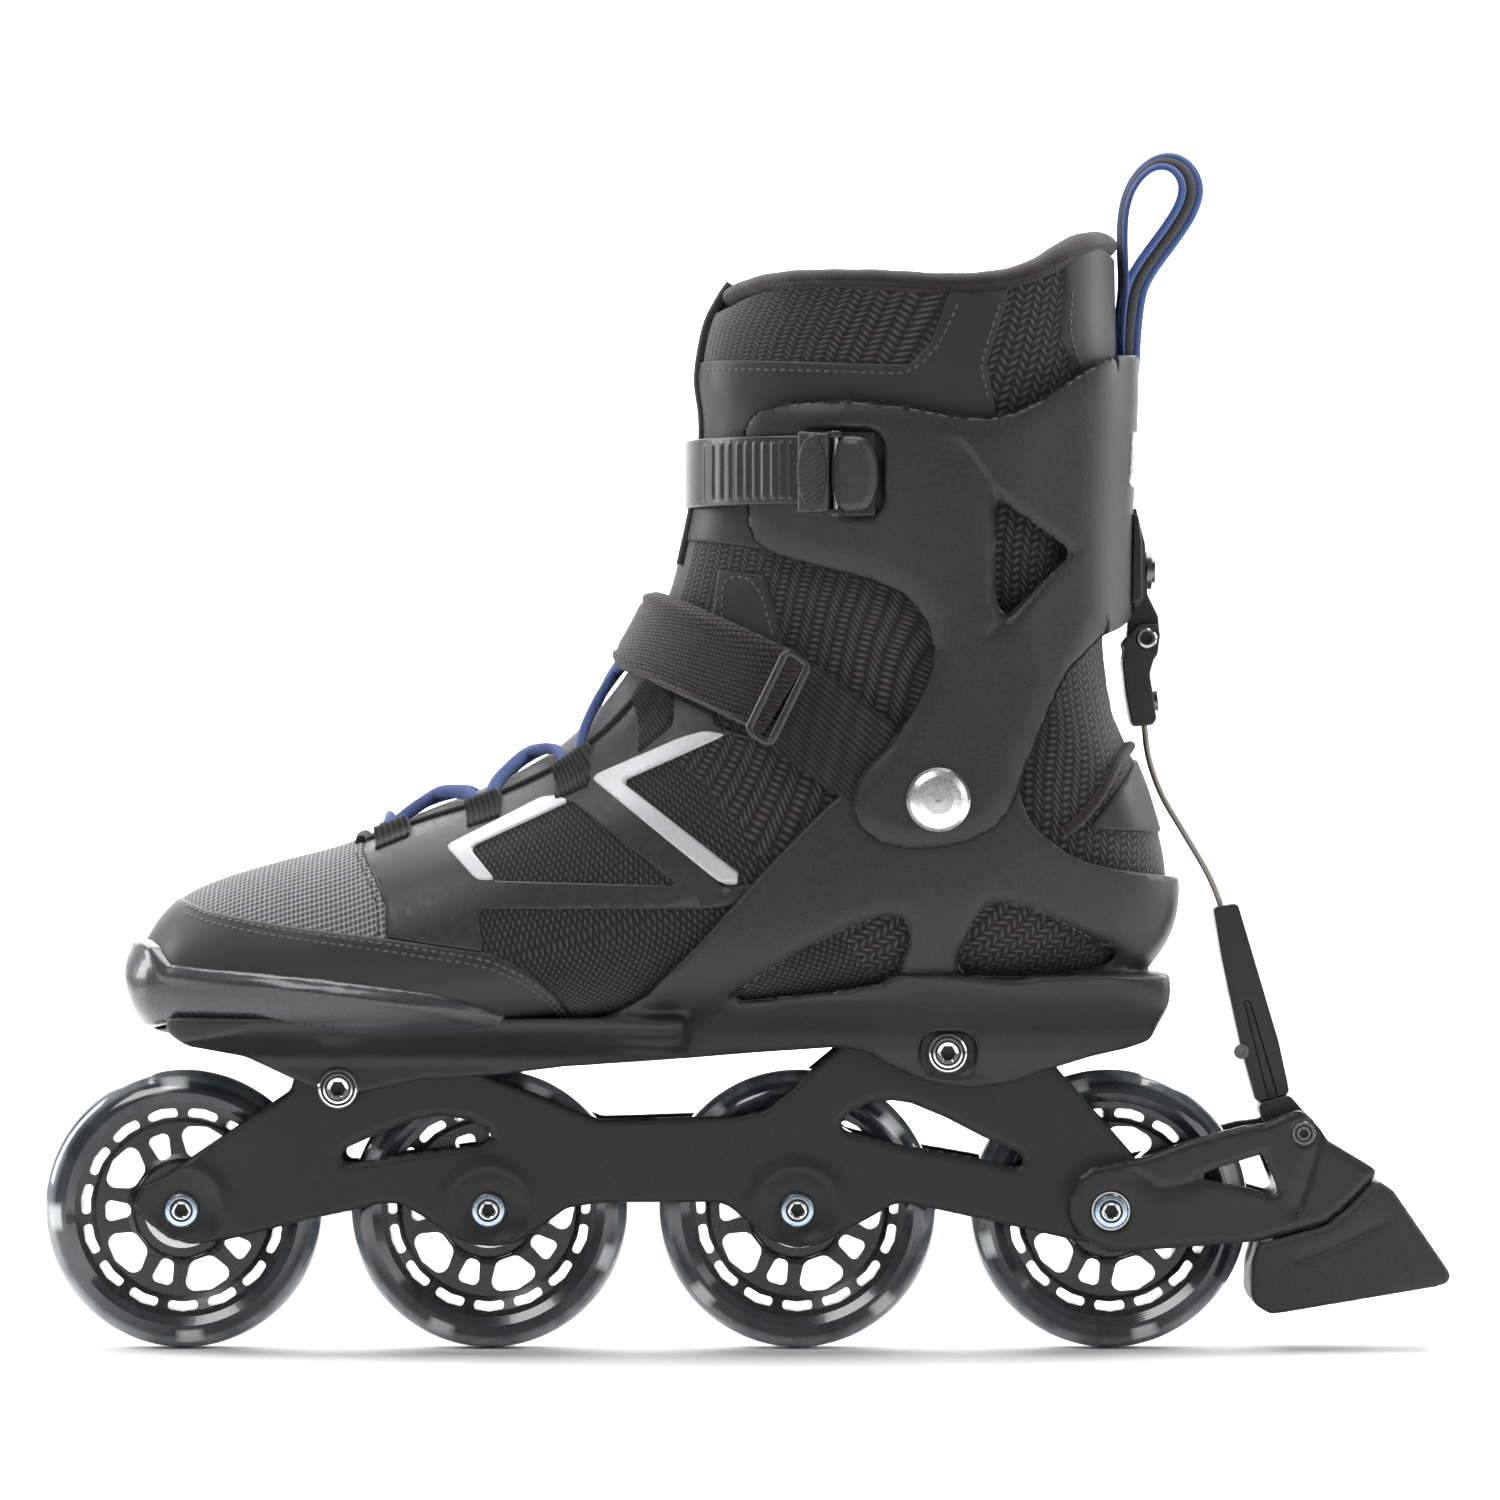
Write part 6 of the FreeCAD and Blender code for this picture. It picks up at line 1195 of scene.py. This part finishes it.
HALF = dict(ns=130, na=150)
MESHEDGE = [(360, 600), (360, 853), (374, 878), (385, 903), (386, 937)]
GUARD = [(181, 901), (205, 910), (250, 919), (310, 928), (385, 937), (430, 944), (484, 952), (514, 964), (538, 979), (559, 1000), (572, 1019)]
M1 = [(470, 848), (569, 801), (678, 886), (496, 880)]
M2 = [(620, 781), (727, 735), (760, 742), (850, 800), (810, 880), (750, 884), (720, 884)]
M3 = [(479, 909), (700, 910), (770, 905), (700, 975), (620, 1040), (560, 1040), (553, 1010), (534, 990), (511, 976), (486, 966)]
FILM = MESHEDGE + GUARD[5:] + [(600, 1045), (760, 960), (830, 880), (862, 800), (850, 788), (760, 738), (716, 726), (700, 640), (660, 600), (500, 600)]
m1, m2, m3 = side(M1, 40), side(M2, 40), side(M3, 40)
holes = lambda x, y, z, s, a: -np.maximum(np.maximum(sd(m1, x, z), sd(m2, x, z)), sd(m3, x, z))
eye_edge = lambda x, y, z, s, a: throat(x, y, a) - 0.6
instep_end = lambda x, y, z, s, a: 24.0 - x + (178.0 - z) * 0.9 + np.where(np.abs(y) > 20, 60, 0)

toe_mesh = skin("toe_mesh", MAT["mesh"], region(MESHEDGE[:4] + [(389, 945)] + [(310, 936), (250, 927), (205, 918), (181, 909), (100, 885), (100, 600)], [not_throat]),
                -0.3, 0.55, 0.8, s=(0, 10), **HALF)
guard = skin("toe_guard", MAT["leather"], region(GUARD + [(585, 1060), (100, 1080), (100, 880)]), -0.3, 1.0, 0.9, s=(0, 15), **HALF)
film_piece = skin("side_film", MAT["film"], region(FILM, [holes, eye_edge]), -0.3, 0.65, 0.5, s=(4, 16), ns=HALF["ns"] + 30, na=HALF["na"] + 30)
CH1 = [(444, 845), (540, 796), (555, 794.5), (569, 800), (469, 847), (496, 880), (477, 880)]
CH2 = [(591, 779), (596, 773), (679, 737), (704, 730), (727, 734), (620, 781), (750, 884), (720, 884)]
def soften(points, k=0.18):
    p = np.asarray(points, float)
    out = []
    for i in range(len(p)):
        a, m, e = p[i - 1], p[i], p[(i + 1) % len(p)]
        la, le = np.linalg.norm(a - m), np.linalg.norm(e - m)
        q = min(6.0, 0.3 * la, 0.3 * le)
        s0, s1 = m + (a - m) / la * q, m + (e - m) / le * q
        out += [tuple(s0), tuple((s0 + s1 + 2 * m) / 4), tuple(s1)]
    return out


CH1R, CH2R = soften(CH1), soften(CH2)
CHV = dict(ns=110, na=300)
ch1 = skin("chevron_small", MAT["chevron"], region(CH1R), 0.2, 0.95, 0.35, s=(8, 13), **CHV)
ch2 = skin("chevron_large", MAT["chevron"], region(CH2R), 0.2, 0.95, 0.35, s=(9.5, 16), **CHV)
for o, sl in ((toe_mesh, "boot_knit"), (guard, "boot_knit"), (film_piece, "boot_knit"), (ch1, "boot_knit"), (ch2, "boot_knit")):
    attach(o, "chassis")

lines = []
for off in (6, 13):
    for sg in (-1, 1):
        lines.append(side_line([(u, v + off) for u, v in GUARD], 1.0, sg))
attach(stitches("toe_guard_stitching", lines, MAT["thread"]), "chassis")
lines = [side_line([(u - 7, v) for u, v in MESHEDGE[1:]], 0.6, sg) for sg in (-1, 1)]
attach(stitches("toe_mesh_stitching", lines, MAT["thread_dark"]), "chassis")

BUMP = [(100, 930), (143, 940), (152, 946), (160, 958), (166, 965.5), (205, 970), (250, 973.5), (310, 980), (370, 988), (430, 997), (475, 1009), (505, 1021), (511, 1028), (490, 1034), (460, 1040),
        (400, 1044), (340, 1044), (250, 1040), (169, 1032), (100, 1040)]
bumper = skin("toe_bumper_rubber", MAT["bumper"], region(BUMP), 0.2, 3.2, 2.6, s=(0, 15), ns=HALF["ns"] + 40, na=HALF["na"] + 60,
              profile=lambda f, x, y, z, s, a: 0.9 * smooth(-x, 136, 143) + 0.35 * np.exp(-((f - 3.2) / 1.0) ** 2))
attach(bumper, "chassis")
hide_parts("toe_bumper")

# ankle leather, knit windows left open in it
LEATHER = [(640, 357), (707, 357), (877, 364), (908, 364), (930, 342), (950, 285), (960, 200), (1012, 200), (1008, 303), (993, 350), (988, 363), (997, 408),
           (1002, 450), (900, 470), (860, 540), (770, 550), (700, 540), (640, 536)]
HEEL = [(1066, 200), (1066, 290), (1062, 336), (1075, 363), (1083, 400), (1200, 420), (1200, 200)]
UPPER = dict(ns=120, na=180)
ankle = skin("ankle_leather", MAT["leather"], region(LEATHER, [below_rim]), -0.3, 0.9, 0.8, s=(14, 25), **UPPER)
heel_top = skin("heel_leather", MAT["leather"], region(HEEL, [below_rim]), -0.3, 0.9, 0.8, s=(18, 25), **UPPER)
patch = skin("instep_patch", MAT["leather"], region([(716, 567), (763, 573.5), (781, 635), (770, 690), (700, 650), (712, 601.5)]), -0.3, 0.9, 0.8, s=(12, 20), **UPPER)
TAB = [(1090, 830), (1113, 800), (1128, 782), (1150, 745), (1240, 740), (1240, 836)]
tab = skin("heel_tab", MAT["leather"], region(TAB), -0.3, 1.0, 0.8, s=(12, 19), **UPPER)
for o in (ankle, heel_top, patch, tab, boot):
    flex(o)

lines = []
for sg in (-1, 1):
    lines.append(side_line([(707, 367), (877, 374), (912, 374), (940, 345), (958, 303)], 0.9, sg, rounds=1))
    lines.append(side_line([(1000, 303), (985, 350), (980, 366), (988, 400)], 0.9, sg, rounds=1))
    lines.append(side_line([(1073, 290), (1070, 336), (1083, 366)], 0.9, sg, rounds=1))
up = stitches("ankle_stitching", lines, MAT["thread"])
flex(up)
lines = [side_line([(722, 645), (722, 603), (724, 574), (758, 579), (773, 636)], 0.9, sg, rounds=1) for sg in (-1, 1)]
flex(stitches("patch_stitching", lines, MAT["thread"]))

# lining roll and front binding
angs = np.linspace(-math.pi, math.pi, 161)[:-1]
ss = np.linspace(17, 24.9, 260)
rim = []
for an in angs:
    q = place(ss, np.full(ss.shape, an), np.full(ss.shape, -3.6))
    g = q[:, 2] - (top_at(q[:, 0]) + 1.6)
    i = int(np.argmax(g > 0)) if (g > 0).any() else len(ss) - 1
    j = max(i - 1, 0)
    f = -g[j] / (g[i] - g[j]) if i != j and g[i] != g[j] else 0
    rim.append(q[j] + (q[i] - q[j]) * min(max(f, 0), 1))
rim = np.array(rim)
for _ in range(6):
    rim = (np.roll(rim, 1, 0) + 2 * rim + np.roll(rim, -1, 0)) / 4
rim = resample(rim, 1.6, closed=True)
wob = 1 + 0.02 * np.sin(np.arange(len(rim)) * 0.9) + 0.02 * np.sin(np.arange(len(rim)) * 0.37 + 1)
collar = tube("collar_roll", rim, 5.3 * wob, MAT["collar"], closed=True, segs=24, flat=0.66, up=(0, 0, 1))
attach(collar, "cuff")
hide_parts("collar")

front = []
for sg in (-1, 1):
    sv = np.linspace(14.6, 23.6, 60)
    front.append(tube("b", place(sv, np.full(60, 0.17 * -sg), np.full(60, 0.15)), 1.9, MAT["collar"], segs=12, step=1.2))
flex(join("front_binding", front))

badge = skin("badge_plate", MAT["silver_badge"], lambda x, y, z, s, a: np.minimum(np.minimum(19.5 - np.abs(y), 9.0 - np.abs(z - 256.7)), np.where(x > 100, 30.0, -5)), 7.3, 8.6, 0.8,
             s=(16, 22), a=(1.6, math.pi), ns=60, na=60)
badge2 = skin("badge_plate_b", MAT["silver_badge"], lambda x, y, z, s, a: np.minimum(np.minimum(19.5 - np.abs(y), 9.0 - np.abs(z - 256.7)), np.where(x > 100, 30.0, -5)), 7.3, 8.6, 0.8,
              s=(16, 22), a=(-math.pi, -1.6), ns=60, na=60)
badge = join("badge_plate", [badge, badge2])
bmw = bmesh.new()
bmw.from_mesh(badge.data)
bmesh.ops.remove_doubles(bmw, verts=bmw.verts, dist=3e-6)
bmw.to_mesh(badge.data)
bmw.free()
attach(badge, "cuff")
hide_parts("cuff_badge")

# heel piping
pip = []
for sg in (-1, 1):
    pip.append(tube("p", side_line([(1064, 832), (1078, 824), (1095, 805), (1108, 785), (1120, 760), (1136, 746)], 0.7, sg, 1.2), 1.5, MAT["collar"], segs=12))
hp = join("heel_piping", pip)
flex(hp)

# tongue
tongue = skin("tongue_pad", MAT["tongue"], lambda x, y, z, s, a: np.minimum(np.minimum(25.0 - np.abs(y), x + 84.0), np.where(np.cos(a) > 0, 30.0 - x, -5)),
              -4.2, -0.4, 5.0, s=(5, 16), a=(-1.5, 1.5), ns=90, na=70,
              profile=lambda f, x, y, z, s, a: 1.2 * np.clip(1 - (y / 18.0) ** 2, 0, 1))
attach(tongue, "chassis")
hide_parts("tongue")


def at_y(x, y, d):
    """Point on top of the form at plan position (x, y)."""
    s = np.linspace(2, 13.2, 500)
    best = None
    for _ in range(1):
        st = station(s, np.full(s.shape, d))
        w, ef, p, yc = st[4], st[6], st[5], st[8]
        k = np.clip(np.abs(y - yc) / w, 0, 1)
        n = k ** (ef / 2)
        a = np.arcsin(np.clip(n, 0, 1))
        P = place(s, np.where(y - yc < 0, a, -a), np.full(s.shape, d))
        i = int(np.argmin(np.abs(P[:, 0] - x)))
        best = P[i]
    return best


# throat binding
bind = []
for sg in (-1, 1):
    xs = np.linspace(-80, 24, 60)
    hw = np.interp(xs, [-82, -50, 30], [12.5, 19.5, 20.5]) + 0.8
    bind.append(tube("b", np.array([at_y(x, sg * h, 0.5) for x, h in zip(xs, hw)]), 1.35, MAT["collar"], segs=10, step=1.2))
xs = np.linspace(-13.3, 13.3, 24)
bind.append(tube("b", np.array([at_y(-81.5, q, 0.6) for q in xs]), 1.9, MAT["collar"], segs=12, step=1.0))
tb = join("throat_binding", bind)
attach(tb, "chassis")

# laces and their loops
LX = [-72.6, -46.4, -21.2, 2.5]
LY = [17.5, 23.5, 24.5, 24.0]
laces = []
for first in (-1, 1):
    pts = [at_y(LX[0] - 1, first * (LY[0] + 1.0), 2.1)]
    sgn = first
    for i in range(3):
        y0, y1 = sgn * LY[i], -sgn * LY[i + 1]
        x0, x1 = LX[i], LX[i + 1]
        h = 3.9 if first > 0 else 2.9
        for t, hh in ((0.14, 2.2), (0.32, 3.0), (0.5, h), (0.68, 3.0), (0.86, 2.2)):
            pts.append(at_y(x0 + (x1 - x0) * t, y0 + (y1 - y0) * t, hh + 0.6))
        pts.append(at_y(x1 - 1.2, y1 * 1.0 + math.copysign(1.4, y1), 2.1))
        pts.append(at_y(x1 + 1.8, y1 * 1.0 + math.copysign(1.4, y1), 2.1))
        sgn = -sgn
    for t in (0.15, 0.4, 0.7):
        pts.append(at_y(LX[3] + 14 * t, sgn * LY[3] * (1 - t), 2.6))
    laces.append(tube("l", curve(pts, 1.0, rounds=2), 2.0, MAT["lace"], segs=12, flat=0.62, up=None))
bar = [at_y(LX[0] - 1.5, y, 2.4 + 0.6 * (1 - abs(y) / 20)) for y in np.linspace(-18.0, 18.0, 20)]
laces.append(tube("l", curve(bar, 1.0, rounds=1), 2.0, MAT["lace"], segs=12, flat=0.7))
lace = join("laces_tied", laces)
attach(lace, "chassis")
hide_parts("laces")

loops = []
for x0, y0 in zip(LX, LY):
    fld = lambda x, y, z, s, a, x0=x0, y0=y0: np.where(np.cos(a) > 0, np.minimum(5.0 - np.abs(x - x0), np.minimum(np.abs(y) - (y0 - 4.5), y0 + 8.5 - np.abs(y))), -5.0)
    loops.append(skin("q", MAT["webbing"], fld, 0.5, 1.5, 0.7, s=(4, 15), a=(-1.5, 1.5), ns=120, na=110,
                      profile=lambda f, x, y, z, s, a, y0=y0: 3.0 * np.exp(-((np.abs(y) - y0 - 0.3) / 2.7) ** 2)))
lp = join("lace_loops_sewn", loops)
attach(lp, "chassis")
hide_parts("lace_loops")

# instep strap: padded band over the instep, bound edges
PADP = [(640, 583.6), (799, 658), (753, 734), (607.7, 661), (300, 500), (400, 470)]
e_top = side([(648.5, 587.5), (799, 658)], 20)
e_low = side([(607.7, 660), (753, 734)], 20)
e_end = side([(799, 658), (753, 734)], 20)


def half_plane(l, x, z):
    (ax, az), (bx, bz) = l
    n = math.hypot(bx - ax, bz - az)
    return ((bx - ax) * (z - az) - (bz - az) * (x - ax)) / n


def strap_field(x, y, z, s, a):
    f = np.minimum(-half_plane(e_top, x, z), half_plane(e_low, x, z))
    return np.minimum(f, -half_plane(e_end, x, z))


strap = skin("instep_strap_pad", MAT["strap"], strap_field, 3.0, 7.6, 4.5, s=(9, 19), a=(-2.4, 2.4), ns=110, na=150,
             profile=lambda f, x, y, z, s, a: 0.9 * np.exp(-((f - 2.0) / 1.1) ** 2) - 0.5 * np.exp(-((f - 4.4) / 0.8) ** 2))
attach(strap, "chassis")
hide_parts("instep_strap")

WEB = [(760, 742), (812, 664), (908, 738), (850, 806)]
webp = side(WEB, 38)
web = skin("strap_webbing_band", MAT["webbing"], lambda x, y, z, s, a: np.where(y < 0, sd(webp, x, z), -5), 2.0, 3.9, 0.7, s=(10, 18), a=(0.2, 2.6), ns=90, na=120,
           profile=lambda f, x, y, z, s, a: -0.35 * np.exp(-((f - 2.2) / 0.6) ** 2))
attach(web, "chassis")
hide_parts("strap_webbing")

# pull loop: blue, black, blue webbing, slightly twisted
LP = curve(side([(1119, 372)] + OUT["LOOP_PATH"][1] + [(1127, 372)], 0), 1.2, rounds=2)
lp3 = np.stack([LP[:, 0], np.zeros(len(LP)), LP[:, 1]], 1)
tan = np.gradient(lp3, axis=0)
tan /= np.linalg.norm(tan, axis=1)[:, None]
nrm = np.cross(tan, [0, 1.0, 0])
u = np.linspace(0, 1, len(lp3))
phi = np.radians(30) * np.ones(len(lp3))
wd = np.stack([np.sin(phi) * nrm[:, 0], np.cos(phi), np.sin(phi) * nrm[:, 2]], 1)
wd = wd + np.stack([0.35 * np.ones(len(u)), np.zeros(len(u)), np.zeros(len(u))], 1)
wd /= np.linalg.norm(wd, axis=1)[:, None]
strips = []
for c, hw, key in ((-3.7, 1.55, "loop_blue"), (0.0, 2.15, "loop_black"), (3.7, 1.55, "loop_blue")):
    strips.append(tube("s", lp3 + wd * c, hw, MAT[key], segs=14, flat=0.42 * (1.55 / hw if hw > 2 else 1.0) + 0.08, up=None))
    o = strips[-1]
    # orient the oval across the webbing's own width
    segs = 14
    ang = np.linspace(0, 2 * math.pi, segs, endpoint=False)
    th = np.cross(tan, wd)
    th /= np.linalg.norm(th, axis=1)[:, None]
    V = ((lp3 + wd * c)[:, None] + wd[:, None] * (np.cos(ang) * hw)[None, :, None] + th[:, None] * (np.sin(ang) * 0.85)[None, :, None]).reshape(-1, 3)
    o.data.vertices.foreach_set("co", (V * MM).astype(np.float32).ravel())
    fix(o)
loop = join("pull_loop_webbing", strips)
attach(loop, "cuff")
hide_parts("pull_loop")

# insole
ins = moulded("insole", MAT["insole"], 1.6, "chassis", 3, name="insole_foam")
uvl = ins.data.uv_layers.new(name="UVMap")
idx = np.zeros(len(ins.data.loops), int)
ins.data.loops.foreach_get("vertex_index", idx)
co = np.zeros(len(ins.data.vertices) * 3)
ins.data.vertices.foreach_get("co", co)
uvl.data.foreach_set("uv", (co.reshape(-1, 3)[idx][:, :2] * 100).ravel())


# ------------------------------------------------------------------ floor, light, camera
floor = new_mesh("floor", [(-4000, -2600, -0.4), (4000, -2600, -0.4), (4000, 4000, -0.4), (-4000, 4000, -0.4)], [(0, 1, 2, 3)], None,
                 Net("floor_paper", (0.90, 0.90, 0.90), 0.75, specular=0.1).speckle(0.01, 300, (0.7, 0.8), 0.02, 0.00005).m, False)
wall = new_mesh("backdrop", [(-5000, 3800, -0.4), (5000, 3800, -0.4), (5000, 3800, 4500), (-5000, 3800, 4500)], [(3, 2, 1, 0)], None,
                Net("backdrop_paper", (0.93, 0.93, 0.93), 0.8, specular=0.1).speckle(0.01, 300, (0.75, 0.85), 0.02, 0.00005).m, False)


def area_light(name, at, aim, size, size_y, power, color=(1, 1, 1)):
    d = bpy.data.lights.new(name, "AREA")
    d.shape = "RECTANGLE"
    d.size, d.size_y, d.energy, d.color = size, size_y, power, color
    o = bpy.data.objects.new(name, d)
    bpy.context.scene.collection.objects.link(o)
    o.location = at
    o.rotation_mode = "QUATERNION"
    o.rotation_quaternion = (Vector(aim) - Vector(at)).to_track_quat("-Z", "Y")
    return o


area_light("key", (-0.75, -1.25, 1.55), (0.03, 0, 0.15), 0.9, 0.7, 14)
area_light("fill", (1.35, -1.35, 0.65), (0.03, 0, 0.16), 0.8, 1.0, 5)
area_light("top", (0.05, 0.25, 1.7), (0.03, 0, 0.15), 1.5, 1.1, 38)
area_light("rim_left", (-1.5, 0.55, 0.8), (0.0, 0, 0.15), 0.6, 1.2, 20)
area_light("rim_right", (1.6, 0.6, 0.8), (0.08, 0, 0.15), 0.6, 1.2, 20)
area_light("floor_light", (0.0, 1.7, 1.5), (0.0, 1.1, 0.0), 2.4, 1.2, 42)
area_light("backdrop_light", (0.0, 2.4, 1.6), (0.0, 3.8, 0.4), 3.0, 1.6, 130)

bpy.context.scene.view_settings.view_transform = "Standard"
bpy.context.scene.view_settings.look = "None"

world = bpy.data.worlds.new("studio")
bpy.context.scene.world = world
world.use_nodes = True
world.node_tree.nodes["Background"].inputs[0].default_value = (1, 1, 1, 1)
world.node_tree.nodes["Background"].inputs[1].default_value = 0.19

cam = bpy.data.cameras.new("camera")
cam.sensor_width = 36.0
cam.lens = 36.0 * 2.5 / 0.4332
cam.clip_start, cam.clip_end = 0.05, 60.0
camera = bpy.data.objects.new("camera", cam)
bpy.context.scene.collection.objects.link(camera)
camera.location = (0.0299, -2.5, 0.1721)
camera.rotation_euler = (math.radians(90), 0, 0)
bpy.context.scene.camera = camera
